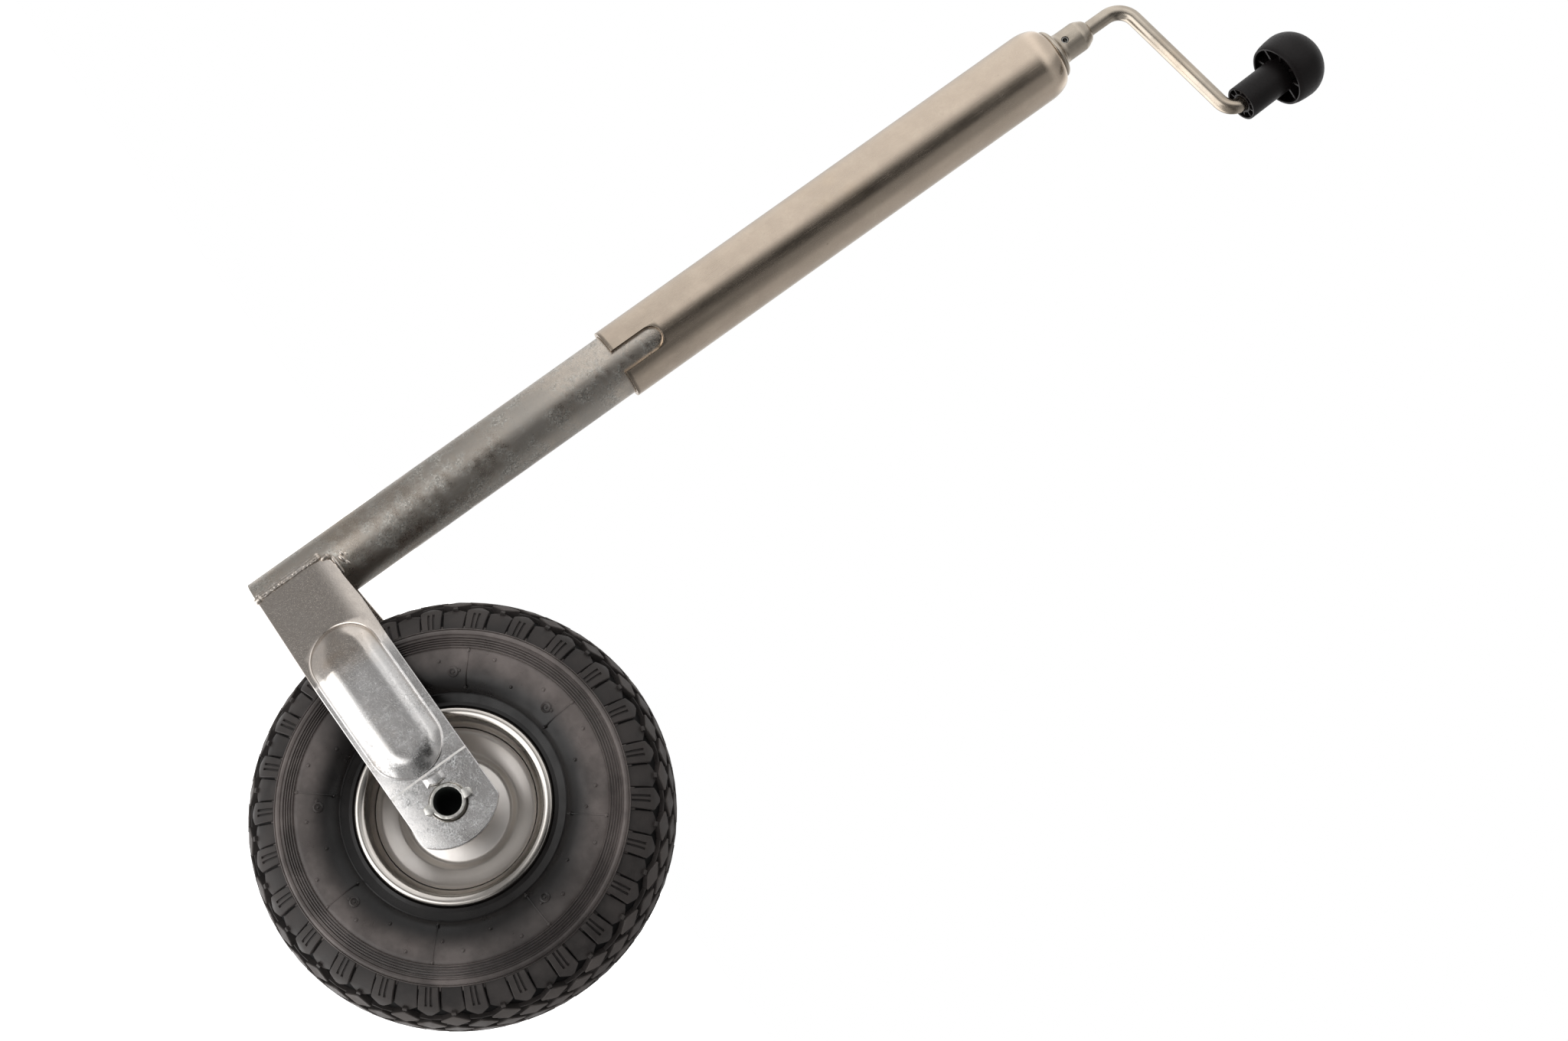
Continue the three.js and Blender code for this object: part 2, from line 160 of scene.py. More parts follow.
def make_object(name, shape, place=None):
    """A Blender object in metres, with its normals pointing out."""
    mesh = bpy.data.meshes.new(name)
    points = [(place @ p if place else p) * MM for p in shape.points]
    mesh.from_pydata(points, [], shape.faces)
    work = bmesh.new()
    work.from_mesh(mesh)
    bmesh.ops.recalc_face_normals(work, faces=work.faces)
    work.to_mesh(mesh)
    work.free()
    return linked(bpy.data.objects.new(name, mesh))


def linked(obj):
    bpy.context.scene.collection.objects.link(obj)
    return obj


def shade(obj, sharp_degrees=28):
    """Smooth shading, with a sharp edge wherever two faces meet at more than the angle."""
    obj.data.polygons.foreach_set("use_smooth", [True] * len(obj.data.polygons))
    obj.data.set_sharp_from_angle(angle=radians(sharp_degrees))


def apply_modifiers(obj):
    seen = obj.evaluated_get(bpy.context.evaluated_depsgraph_get())
    mesh = bpy.data.meshes.new_from_object(seen)
    obj.modifiers.clear()
    obj.data = mesh


def cut(obj, *cutters):
    """Takes the cutters' shapes away from an object."""
    for cutter in cutters:
        tool = make_object("cutter", cutter)
        step = obj.modifiers.new("cut", "BOOLEAN")
        step.operation, step.solver, step.object = "DIFFERENCE", "EXACT", tool
        apply_modifiers(obj)
        bpy.data.objects.remove(tool)


def bevel(obj, width, segments=2, angle=35):
    step = obj.modifiers.new("bevel", "BEVEL")
    step.width, step.segments = width * MM, segments
    step.limit_method, step.angle_limit = "ANGLE", radians(angle)
    step.use_clamp_overlap = True
    apply_modifiers(obj)


def finished(obj, body, slot, material, *nodes, sharp_degrees=28):
    """Gives a piece its finish and its place in the frame. It stands for the CAD nodes named."""
    obj.data.materials.clear()
    obj.data.materials.append(material)
    shade(obj, sharp_degrees)
    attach(obj, body)
    if nodes:
        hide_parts(*nodes)
    return obj


def lathe(profile, segments=96, from_turn=0.0, sweep=2 * pi):
    """Points and faces of a profile of (radius, z) turned about Z. The profile closes on itself or
    starts and ends on the axis. A sweep of less than a full turn gets flat ends."""
    closed = profile[0] == profile[-1]
    rows = profile[:-1] if closed else profile
    full = sweep > 2 * pi - 1e-6
    columns = segments if full else segments + 1
    points, index = [], []
    for r, z in rows:
        if r < 1e-6:
            index.append([len(points)] * columns)
            points.append((0, 0, z))
            continue
        index.append(list(range(len(points), len(points) + columns)))
        for i in range(columns):
            turn = from_turn + sweep * i / segments
            points.append((r * cos(turn), r * sin(turn), z))
    faces = []
    for row in range(len(rows) if closed else len(rows) - 1):
        a, b = index[row], index[(row + 1) % len(rows)]
        for i in range(segments):
            j = (i + 1) % columns
            corners = [a[i], a[j], b[j], b[i]]
            kept = [c for k, c in enumerate(corners) if c not in corners[:k]]
            if len(kept) > 2:
                faces.append(kept)
    if not full:
        faces += [[row[0] for row in index], [row[-1] for row in index]]
    return points, faces


def soften(profile, radius=0.4, steps=3):
    """Rounds the corners of a (u, v) outline. Its first and last points stay where they are."""
    closed = profile[0] == profile[-1]
    corners = [Vector(p) for p in (profile[:-1] if closed else profile)]
    count = len(corners)
    result = []
    for i, here in enumerate(corners):
        if not closed and i in (0, count - 1):
            result.append(tuple(here))
            continue
        before, after = corners[i - 1], corners[(i + 1) % count]
        reach = min(radius, 0.45 * (before - here).length, 0.45 * (after - here).length)
        start = here + (before - here).normalized() * reach
        end = here + (after - here).normalized() * reach
        if (here - before).angle(after - here) < radians(12):
            result.append(tuple(here))
            continue
        for step in range(steps + 1):
            t = step / steps
            result.append(tuple((1 - t) ** 2 * start + 2 * t * (1 - t) * here + t * t * end))
    if closed:
        result.append(result[0])
    return result


def quarter(centre_r, centre_z, a, b, steps=16):
    """A quarter ellipse from (centre_r + a, centre_z) to (centre_r, centre_z + b)."""
    turns = [pi / 2 * i / steps for i in range(steps + 1)]
    return [(centre_r + a * cos(t), centre_z + b * sin(t)) for t in turns]


def turned(name, profile, body, slot, material, *nodes, place=None, segments=96, edge=0.4):
    """A turned piece with softened corners."""
    shape = Shape().add(*lathe(soften(profile, edge) if edge else profile, segments))
    return finished(make_object(name, shape, place), body, slot, material, *nodes)


def ring_profile(inner_r, outer_r, low, high):
    return [(inner_r, low), (outer_r, low), (outer_r, high), (inner_r, high), (inner_r, low)]


def prism(outline, low, high, place=None):
    """A closed prism from an outline of (x, y) points, between two heights."""
    points = [(x, y, z) for z in (low, high) for x, y in outline]
    return Shape().add(points, tube_faces(2, len(outline)), place)


def circle(radius, segments, x=0.0, y=0.0):
    turns = [2 * pi * i / segments for i in range(segments)]
    return [(x + radius * cos(t), y + radius * sin(t)) for t in turns]


def bent_line(corners, radii, step=1.2):
    """Points along straight stretches whose inner corners are rounded."""
    line = [corners[0]]
    for i, radius in enumerate(radii, start=1):
        before = (corners[i] - corners[i - 1]).normalized()
        after = (corners[i + 1] - corners[i]).normalized()
        turn = before.angle(after)
        start = corners[i] - before * radius * tan(turn / 2)
        inward = (after - before * after.dot(before)).normalized()
        pieces = max(6, round(radius * turn / step))
        for k in range(pieces + 1):
            angle = turn * k / pieces
            line.append(start + before * radius * sin(angle) + inward * radius * (1 - cos(angle)))
    line.append(corners[-1])
    return line


def swept(line, radius_at, sides=32):
    """A round bar along a line. radius_at(k) is its radius at the line's point k."""
    points = []
    along = (line[1] - line[0]).normalized()
    across = along.orthogonal().normalized()
    for k, here in enumerate(line):
        ahead = line[min(k + 1, len(line) - 1)] - line[max(k - 1, 0)]
        turn = along.rotation_difference(ahead.normalized())
        along, across = ahead.normalized(), turn @ across
        up = along.cross(across)
        for i in range(sides):
            t = 2 * pi * i / sides
            points.append(here + (across * cos(t) + up * sin(t)) * radius_at(k))
    return points, tube_faces(len(line), sides)


# ---------------------------------------------------------------- materials
def tint(color, share):
    return tuple(min(1, c * share) for c in color)


class Finish:
    """A procedural material, with short calls for the nodes that the finishes share."""

    def __init__(self, name, metallic, roughness, color):
        self.material = bpy.data.materials.new(name)
        self.material.use_nodes = True
        self.tree = self.material.node_tree
        self.shader = self.tree.nodes["Principled BSDF"]
        self.shader.inputs["Metallic"].default_value = metallic
        self.shader.inputs["Roughness"].default_value = roughness
        self.shader.inputs["Base Color"].default_value = (*color, 1)
        self.place = self.node("ShaderNodeTexCoord").outputs["Object"]

    def node(self, kind, **settings):
        made = self.tree.nodes.new(kind)
        for key, value in settings.items():
            setattr(made, key, value)
        return made

    def feed(self, socket, value):
        if isinstance(value, bpy.types.NodeSocket):
            self.tree.links.new(value, socket)
        else:
            socket.default_value = (*value, 1) if isinstance(value, tuple) and len(value) == 3 else value

    def stretched(self, stretch):
        """The place in metres, stretched so that patterns draw out along an axis."""
        mapping = self.node("ShaderNodeMapping")
        self.feed(mapping.inputs["Vector"], self.place)
        mapping.inputs["Scale"].default_value = stretch
        return mapping.outputs["Vector"]

    def noise(self, scale, detail=4.0, roughness=0.55, stretch=(1, 1, 1)):
        made = self.node("ShaderNodeTexNoise")
        self.feed(made.inputs["Vector"], self.stretched(stretch))
        for key, number in (("Scale", scale), ("Detail", detail), ("Roughness", roughness)):
            made.inputs[key].default_value = number
        return made.outputs["Fac"]

    def cells(self, scale):
        """Crystals: red, green and blue are three numbers that change from one to the next."""
        made = self.node("ShaderNodeTexVoronoi")
        self.feed(made.inputs["Vector"], self.stretched((1, 1, 1)))
        made.inputs["Scale"].default_value = scale
        parts = self.node("ShaderNodeSeparateColor")
        self.feed(parts.inputs[0], made.outputs["Color"])
        return parts.outputs

    def math(self, operation, a, b=0.0, clamp=False):
        made = self.node("ShaderNodeMath", operation=operation, use_clamp=clamp)
        self.feed(made.inputs[0], a)
        self.feed(made.inputs[1], b)
        return made.outputs[0]

    def times(self, a, b):
        return self.math("MULTIPLY", a, b)

    def spread(self, value, low, high, to_low=0.0, to_high=1.0):
        """The value between low and high, drawn out to the range from to_low to to_high."""
        made = self.node("ShaderNodeMapRange", clamp=True, interpolation_type="SMOOTHSTEP")
        self.feed(made.inputs["Value"], value)
        for key, number in (("From Min", low), ("From Max", high), ("To Min", to_low), ("To Max", to_high)):
            made.inputs[key].default_value = number
        return made.outputs["Result"]

    def mix(self, share, a, b):
        made = self.node("ShaderNodeMix", data_type="RGBA", clamp_factor=True)
        self.feed(made.inputs["Factor"], share)
        self.feed(made.inputs[6], a)
        self.feed(made.inputs[7], b)
        return made.outputs[2]

    def vector(self, operation, a, b=None):
        made = self.node("ShaderNodeVectorMath", operation=operation)
        self.feed(made.inputs[0], a)
        if b:
            made.inputs[1].default_value = b
        return made.outputs["Value" if operation == "LENGTH" else "Vector"]

    def axis(self, name):
        parts = self.node("ShaderNodeSeparateXYZ")
        self.feed(parts.inputs[0], self.place)
        return parts.outputs[name]

    def color(self, value):
        self.feed(self.shader.inputs["Base Color"], value)

    def rough(self, value):
        self.feed(self.shader.inputs["Roughness"], value)

    def relief(self, height, depth_mm, strength=1.0):
        """Adds a bump of the depth on top of the bumps added before it."""
        made = self.node("ShaderNodeBump")
        made.inputs["Strength"].default_value = strength
        made.inputs["Distance"].default_value = depth_mm * MM
        self.feed(made.inputs["Height"], height)
        socket = self.shader.inputs["Normal"]
        if socket.is_linked:
            self.feed(made.inputs["Normal"], socket.links[0].from_socket)
        self.feed(socket, made.outputs["Normal"])


def zinc(name, light, dark, rough_low, rough_high, spangle, pits=0.6, warmth=(0.60, 0.46, 0.32), wave=0.05,
         frost_from=None):
    """Zinc plating: cloudy tone, frosted crystals, drawn scratches, specks and small pits."""
    f = Finish(name, 1.0, rough_low, light)
    clouds = f.spread(f.noise(38, 6, 0.68), 0.30, 0.72)
    tone = f.mix(clouds, dark, light)
    frost = f.spread(f.noise(75, 4, 0.7), 0.42, 0.66)
    if frost_from:
        frost = f.times(frost, f.spread(f.axis("X"), *frost_from, 0.15, 1.0))
    crystals = f.cells(1150)
    tone = f.mix(f.times(f.times(crystals[0], frost), spangle), tone, tint(light, 1.75))
    tone = f.mix(f.times(f.times(crystals[1], frost), spangle), tone, tint(dark, 0.45))
    stain = f.spread(f.noise(11, 4, 0.7), 0.54, 0.74, 0.0, 0.4)
    tone = f.mix(stain, tone, warmth)
    specks = f.spread(f.noise(380, 3, 0.7), 0.70, 0.76, 0.0, pits)
    tone = f.mix(specks, tone, (0.14, 0.11, 0.085))
    f.color(tone)
    scratches = f.spread(f.noise(240, 3, 0.7, stretch=(6, 6, 0.25)), 0.46, 0.72)
    cloud_rough = f.spread(clouds, 0.0, 1.0, rough_high, rough_low)
    rough = f.math("ADD", cloud_rough, f.times(scratches, 0.05))
    f.rough(f.math("ADD", rough, f.times(frost, spangle * 0.16), clamp=True))
    f.relief(crystals[2], 0.06 * spangle, 0.4)
    f.relief(specks, -0.06, 0.6)
    f.relief(f.noise(60, 3, 0.5), wave, 0.35)
    return f


def steel(name, color, rough=0.36):
    f = Finish(name, 1.0, rough, color)
    marks = f.noise(500, 4, 0.6, stretch=(0.4, 0.4, 3))
    f.color(f.mix(f.spread(marks, 0.3, 0.7), tint(color, 0.72), color))
    f.rough(f.spread(marks, 0.2, 0.8, rough - 0.08, rough + 0.12))
    f.relief(marks, 0.03, 0.4)
    return f.material


def moulded(name, color, rough, bump_mm=0.03, scale=900):
    f = Finish(name, 0.0, rough, color)
    clouds = f.noise(60, 4, 0.6)
    f.color(f.mix(f.spread(clouds, 0.3, 0.7), tint(color, 0.8), tint(color, 1.2)))
    grain = f.noise(scale, 2, 0.6)
    f.rough(f.spread(grain, 0.3, 0.7, rough - 0.06, rough + 0.08))
    f.relief(grain, bump_mm, 0.5)
    return f.material


def wheel_radius(f):
    """Distance from the wheel's axis in metres."""
    away = f.vector("SUBTRACT", f.place, [c * MM for c in AXLE])
    return f.vector("LENGTH", f.vector("MULTIPLY", away, (1, 0, 1)))


def tread_lift(f):
    """Height above the tyre's smooth section in metres: 0 on a raised block, negative in a groove."""
    across = f.math("DIVIDE", f.math("ABSOLUTE", f.axis("Y")), TYRE_HALF_WIDTH * MM)
    share = f.math("SUBTRACT", 1.0, f.math("POWER", across, TYRE_ROUNDNESS), clamp=True)
    bulge = f.times(f.math("POWER", share, 1 / TYRE_ROUNDNESS), (TYRE_R - TYRE_MIDDLE_R) * MM)
    return f.math("SUBTRACT", wheel_radius(f), f.math("ADD", bulge, TYRE_MIDDLE_R * MM))


def rubber(name):
    """Tyre rubber: dust and painted light on the bulge, most at top and bottom; painted shade near the bead
    and in the grooves.
    """
    f = Finish(name, 0.0, 0.5, (0.04, 0.036, 0.034))
    f.shader.inputs["Specular IOR Level"].default_value = RUBBER_SPECULAR
    dusty = f.spread(f.noise(34, 5, 0.65), 0.35, 0.7)
    r = wheel_radius(f)
    tread = f.spread(r, TREAD_FROM_R, TREAD_FROM_R + 0.001)
    # Painted shade: the bulge share falls to nothing towards the bead, so the rubber there is drawn darker.
    bulge = f.times(f.spread(r, 0.074, 0.089), f.spread(r, TREAD_FROM_R, TREAD_FROM_R + 0.003, 1.0, 0.0))
    # Painted light: the bulge is drawn lighter towards the top and bottom of the tyre, in dusty patches.
    aside = f.math("ABSOLUTE", f.math("SUBTRACT", f.axis("Z"), AXLE.z * MM))
    dust_and_painted_light = f.times(bulge, f.spread(aside, 0.015, 0.08, 0.42, 1.25))
    dust_and_painted_light = f.times(dust_and_painted_light, f.spread(f.noise(13, 5, 0.7), 0.36, 0.62, 0.5, 1.0))
    dark_rubber = f.mix(dusty, (0.005, 0.0043, 0.0042), (0.011, 0.0095, 0.009))
    tone = f.mix(dust_and_painted_light, dark_rubber, f.mix(dusty, (0.105, 0.089, 0.083), (0.150, 0.128, 0.120)))
    # Painted shade: past TREAD_FROM_R, on the groove floors, the rubber is drawn near black.
    f.color(f.mix(tread, tone, (0.0015, 0.0012, 0.0012)))
    sheen = f.spread(f.noise(70, 4, 0.6), 0.3, 0.7, 0.26, 0.44)
    f.rough(f.math("ADD", sheen, f.times(tread, 0.4)))
    f.relief(f.noise(1100, 2, 0.6), 0.03, 0.4)
    f.relief(f.noise(120, 3, 0.6), 0.14, 0.4)
    return f.material


ZINC_TUBE = zinc("zinc_tube", (0.71, 0.59, 0.475), (0.63, 0.525, 0.425), 0.19, 0.25, 0.06, 0.5).material
ZINC_INNER = zinc("zinc_inner", (0.72, 0.63, 0.54), (0.55, 0.51, 0.46), 0.20, 0.36, 0.75, 0.8).material


def plate_zinc():
    """Zinc that is smooth on the plates' slope with a warm, darker painted reflection there, and blue-grey
    and frosted towards the axle.
    """
    f = zinc("zinc_plate", (0.80, 0.775, 0.755), (0.68, 0.665, 0.655), 0.13, 0.22, 1.0, 0.6,
             frost_from=(0.06, 0.17))
    # Painted reflection: the slope before the first bend is tinted warmer and darker.
    made = f.node("ShaderNodeMix", data_type="RGBA", blend_type="MULTIPLY")
    f.feed(made.inputs["Factor"], f.spread(f.axis("X"), 0.062, 0.082, 1.0, 0.0))
    f.feed(made.inputs[6], f.shader.inputs["Base Color"].links[0].from_socket)
    f.feed(made.inputs[7], (0.93, 0.865, 0.80))
    # Painted highlight: a light, rougher line along the second bend's crease.
    bend = f.math("ABSOLUTE", f.math("SUBTRACT", f.axis("X"), CREASE_X * MM))
    crease_highlight = f.times(f.spread(bend, 0.0003, 0.0009, 1.0, 0.0), f.spread(f.noise(160, 3), 0.3, 0.6, 0.4, 1.0))
    f.color(f.mix(crease_highlight, made.outputs[2], (0.96, 0.93, 0.90)))
    rough = f.shader.inputs["Roughness"].links[0].from_socket
    f.rough(f.math("ADD", rough, f.times(crease_highlight, 0.5), clamp=True))
    return f.material


ZINC_PLATE = plate_zinc()
ZINC_CRANK = zinc("zinc_crank", (0.60, 0.53, 0.445), (0.48, 0.42, 0.35), 0.24, 0.32, 0.0, 0.3,
                  wave=0.015).material
DISH_ZINC = zinc("dish_zinc", (0.95, 0.90, 0.855), (0.91, 0.86, 0.815), 0.32, 0.36, 0.02, 0.10,
                 (0.82, 0.72, 0.62), wave=0.006).material
RIM_ZINC = zinc("rim_zinc", (0.74, 0.69, 0.64), (0.66, 0.62, 0.575), 0.13, 0.20, 0.03, 0.2,
                wave=0.02).material
WELD = zinc("weld_bead", (0.80, 0.73, 0.66), (0.54, 0.475, 0.41), 0.22, 0.34, 0.35, 0.6).material


def dark_bore():
    """Zinc outside, and inside the axle's bore a dull, near-black painted shade."""
    f = zinc("axle_zinc", (0.82, 0.80, 0.75), (0.62, 0.60, 0.56), 0.20, 0.34, 0.5, 0.5)
    # Painted shade: inside the bore the colour is near black, dull and not metal.
    inside = f.spread(wheel_radius(f), 0.0086, 0.0089, 1.0, 0.0)
    f.color(f.mix(inside, f.shader.inputs["Base Color"].links[0].from_socket, (0.012, 0.014, 0.012)))
    f.feed(f.shader.inputs["Metallic"], f.spread(inside, 0.0, 1.0, 1.0, 0.0))
    f.rough(f.spread(inside, 0.0, 1.0, 0.3, 0.85))
    return f.material


AXLE_ZINC = dark_bore()
BARE_STEEL = steel("bare_steel", (0.42, 0.41, 0.39))
BRONZE = steel("bronze", (0.55, 0.36, 0.16), 0.4)
NYLON = moulded("nylon", (0.62, 0.60, 0.52), 0.45)
BLACK_PLASTIC = moulded("black_plastic", (0.0065, 0.005, 0.005), 0.44, 0.006, 900)
BLACK_PLASTIC.node_tree.nodes["Principled BSDF"].inputs["Specular IOR Level"].default_value = 0.24
RUBBER = rubber("tyre_rubber")
BUTYL = moulded("tube_rubber", (0.02, 0.02, 0.02), 0.55)


# ---------------------------------------------------------------- outer tube
def slot_cutter(turn_degrees):
    half = SLOT_WIDTH / 2
    top = SLOT_TOP_Z - half
    arc = [(half * cos(t), top + half * sin(t)) for t in (pi * i / 40 for i in range(41))]
    outline = [(half, MOUTH_Z - 5), *arc, (-half, MOUTH_Z - 5)]
    turn = Matrix.Rotation(radians(turn_degrees), 4, "Z")
    upright = Matrix.Rotation(pi / 2, 4, "X")
    return prism(outline, 17, 32, turn @ upright)


def outer_tube():
    flat_r = DOME_TOP_R - (TUBE_R - TUBE_BORE_R)
    wall_top, bore_from = DOME_TOP_Z - DOME_WALL, DOME_FROM_Z - 2
    outside = quarter(DOME_TOP_R, DOME_FROM_Z, TUBE_R - DOME_TOP_R, DOME_TOP_Z - DOME_FROM_Z)
    inside = quarter(flat_r, bore_from, TUBE_BORE_R - flat_r, wall_top - bore_from)
    # These rings keep the shading clean round the slots.
    rings = [MOUTH_Z + 2.5, -165, -149, -147, -140, -70, 0, 70, 135]
    profile = [(TUBE_BORE_R, MOUTH_Z), (TUBE_R, MOUTH_Z), *[(TUBE_R, z) for z in rings], *outside,
               (DOME_BORE_R, DOME_TOP_Z), (DOME_BORE_R, wall_top), *inside[::-1],
               *[(TUBE_BORE_R, z) for z in rings[::-1]], (TUBE_BORE_R, MOUTH_Z)]
    obj = make_object("outer_tube_shell", Shape().add(*lathe(profile, 180)))
    cut(obj, slot_cutter(SLOT_TURN), slot_cutter(SLOT_TURN + 180))
    bevel(obj, 0.35)
    return finished(obj, "outer_tube", "zinc_tube", ZINC_TUBE, "outer_tube")


outer_tube()

# ---------------------------------------------------------------- inner tube
turned("inner_tube_shell", ring_profile(INNER_BORE_R, INNER_R, INNER_BOTTOM_Z, INNER_TOP_Z), "fork",
       "zinc_inner", ZINC_INNER, "inner_tube", segments=160)


# ---------------------------------------------------------------- fork plates
def smooth_bend(x, corner, reach, before, after):
    """How far a line that changes slope at a corner lies off its first stretch, bend rounded."""
    t = min(max((x - corner + reach) / (2 * reach), 0), 1)
    return (after - before) * (t * t * reach + max(0, x - corner - reach))


def arm_face(x):
    """|y| of a fork plate's outer face at x, with rounded bends."""
    (x0, y0), (x1, y1), (x2, y2), _ = ARM_FACE
    first = (y1 - y0) / (x1 - x0)
    second = (y2 - y1) / (x2 - x1)
    line = y0 + first * (x - x0)
    return line + smooth_bend(x, x1, 1.2, first, second) + smooth_bend(x, x2, 0.8, second, 0)


def pocket_distance(x, z):
    """Distance outside the pocket's outline, negative inside it."""
    near_x = min(max(x, POCKET_FROM_X), POCKET_TO_X)
    return sqrt((x - near_x) ** 2 + (z + POCKET_DROP) ** 2) - POCKET_R


def pocket_rise(x, z):
    away = pocket_distance(x, z)
    low = min(max((-3 - z - POCKET_DROP) / 12, (x - POCKET_TO_X - 2) / 12, 0), 1)
    t = min(max(-away / (POCKET_WALL + 3 * low * low * (3 - 2 * low)), 0), 1)
    lip = 0.35 * max(0, 1 - abs(away - 0.7) / 0.7)           # the crease thrown up round the pressing
    return POCKET_HEIGHT * (1 - (1 - t) ** 2.6) + lip


def edge_roll(x, z):
    """How far the plate's long edges fall back: the upper one near the tube, the lower one near the axle."""
    share = min(max((x - 66) / 20, 0), 1)
    upper = max(0, z - 8) ** 2 * 0.0060 * (1 - 0.9 * share)
    low_share = min(max((x - 100) / 50, 0), 1)
    lower = max(0, -z - 7) ** 2 * (0.0003 + 0.0023 * low_share)
    return upper + lower


def face_out(x, z):
    """|y| of a plate's outer face."""
    crease = 0.12 * max(0, 1 - abs(x - CREASE_X) / 0.9)      # thrown up where the plate is bent
    return arm_face(x) + pocket_rise(x, z) - edge_roll(x, z) + crease


def stadium(radius, step=2.2):
    outline = []
    for centre, start in ((POCKET_TO_X, -pi / 2), (POCKET_FROM_X, pi / 2)):
        count = max(12, round(pi * radius / step))
        for i in range(count + 1):
            t = start + pi * i / count
            outline.append((centre + radius * cos(t), -POCKET_DROP + radius * sin(t)))
    return outline


def resampled(outline, step):
    """A closed outline with points at most a step apart."""
    result = []
    for i, here in enumerate(outline):
        after = outline[(i + 1) % len(outline)]
        length = (Vector(after) - Vector(here)).length
        count = max(1, round(length / step))
        result += [tuple(Vector(here).lerp(Vector(after), k / count)) for k in range(count)]
    return result


def arm_outline(inset):
    turn = asin((ARM_HALF_WIDTH - inset) / (ARM_END_R - inset))
    centre = ARM_END_X - ARM_END_R
    low, high = -ARM_HALF_WIDTH + inset, ARM_HALF_WIDTH - inset
    arc = [(centre + (ARM_END_R - inset) * cos(t), (ARM_END_R - inset) * sin(t))
           for t in (turn * (i / 12 - 1) for i in range(25))]
    left = ARM_FROM_X + inset
    return resampled(soften([(left, low), *arc, (38, high), (left + 6, high - 2.6), (left, high - 6.5),
                             (left, low)], 1.2)[:-1], 2.5)


def inside_outline(point, outline):
    x, y = point
    hit = False
    for (ax, ay), (bx, by) in zip(outline, outline[1:] + outline[:1]):
        if (ay > y) != (by > y) and x < ax + (y - ay) * (bx - ax) / (by - ay):
            hit = not hit
    return hit


def flat_triangles(loops, lines, extra, keep):
    """Triangles that follow the loops and lines. keep(centre) says which of them stay."""
    points, edges = [], []
    for line in loops + lines:
        base, count = len(points), len(line)
        points += line
        edges += [(base + i, base + (i + 1) % count) for i in range(count if line in loops else count - 1)]
    points += extra
    found = delaunay_2d_cdt([Vector(p) for p in points], edges, [], 0, 1e-4)
    places, triangles = found[0], found[2]
    kept = [t for t in triangles if keep(tuple(sum((places[i] for i in t), Vector((0, 0))) / 3))]
    return places, kept


def fork_arm_shape():
    """A fork plate on the far side. The outer face follows arm_face and the pocket."""
    edge = 0.5
    rims = [arm_outline(0), arm_outline(edge)]
    holes = [circle(AXLE_HOLE_R + d, 64, AXLE.x) for d in (0, edge)]
    rings = [resampled(stadium(POCKET_R - d), 2.4)
             for d in (-1.4, -0.7, 0, 0.8, 1.8, 3, 4.4, 6, 7.8, 9.8, 12)]
    extra = []
    for i in range(70):
        for k in range(19):
            x, z = 1.7 + i * 3 + (1.5 if k % 2 else 0), -26 + k * 2.9
            if -13 < pocket_distance(x, z) < 2.4 or (x - AXLE.x) ** 2 + z * z < (AXLE_HOLE_R + 2) ** 2:
                continue
            if inside_outline((x, z), arm_outline(1.6)):
                extra.append((x, z))

    def keep(point):
        return inside_outline(point, rims[1]) and not inside_outline(point, holes[1])

    bend_lines = (70.8, 72, 73.2, CREASE_X - 0.9, CREASE_X, CREASE_X + 0.9)
    bends = [[(x, -26.4 + 2.4 * k) for k in range(23)] for x in bend_lines]
    places, triangles = flat_triangles([rims[1], holes[1], *rings], bends, extra, keep)
    points = []
    faces = []
    for side in (0, 1):
        base = len(points)
        for x, z in places:
            points.append((x, face_out(x, z) - PLATE * side, AXLE.z + z))
        faces += [[i + base for i in (t if side else t[::-1])] for t in triangles]
    find = {(round(p[0], 3), round(p[1], 3)): i for i, p in enumerate(places)}
    for outer, inset in (rims, holes):
        border = [find[round(x, 3), round(z, 3)] for x, z in inset]
        count = len(inset)
        widest = outer_like(outer, inset)
        ring = []
        for depth in (edge * 0.8, PLATE - edge * 0.8):
            ring.append(len(points))
            points += [(x, face_out(x, z) - depth, AXLE.z + z) for x, z in widest]
        for i in range(count):
            j = (i + 1) % count
            a, b = border[i], border[j]
            faces.append([a, b, ring[0] + j, ring[0] + i])
            faces.append([ring[0] + i, ring[0] + j, ring[1] + j, ring[1] + i])
            faces.append([ring[1] + i, ring[1] + j, b + len(places), a + len(places)])
    return Shape().add(points, faces)


def outer_like(outer, inset):
    """The outer outline's nearest place for each point of the inset outline."""
    result = []
    for x, z in inset:
        places = []
        for (ax, az), (bx, bz) in zip(outer, outer[1:] + outer[:1]):
            dx, dz = bx - ax, bz - az
            t = min(max(((x - ax) * dx + (z - az) * dz) / (dx * dx + dz * dz), 0), 1)
            places.append((ax + dx * t, az + dz * t))
        result.append(min(places, key=lambda place: (place[0] - x) ** 2 + (place[1] - z) ** 2))
    return result


def fork_arms():
    shape = fork_arm_shape()
    for name, side in SIDES:
        obj = make_object(f"fork_plate_{name}", shape, Matrix.Scale(side, 4, (0, 1, 0)))
        finished(obj, "fork", "zinc_plate", ZINC_PLATE, f"fork_arm_{name}", sharp_degrees=24)


fork_arms()


# ---------------------------------------------------------------- welds
WELD_POINTS = 74


def lumpy_bead(line, radius, ripple, seed):
    """A weld bead along a line, with ripples and uneven width."""
    def radius_at(k):
        taper = min(1, (k + 0.6) / 3, (len(line) - k - 0.4) / 3)
        wave = 1 + ripple * (noise.noise(Vector((k * 0.55, seed, 0)))
                             + 0.8 * noise.noise(Vector((k * 1.3, seed, 4))))
        return radius * wave * taper ** 0.5
    return swept(line, radius_at, 14)


def on_inner_tube(x, side, z, lift):
    return Vector((x, side * (sqrt(INNER_R ** 2 - x * x) + lift), z))


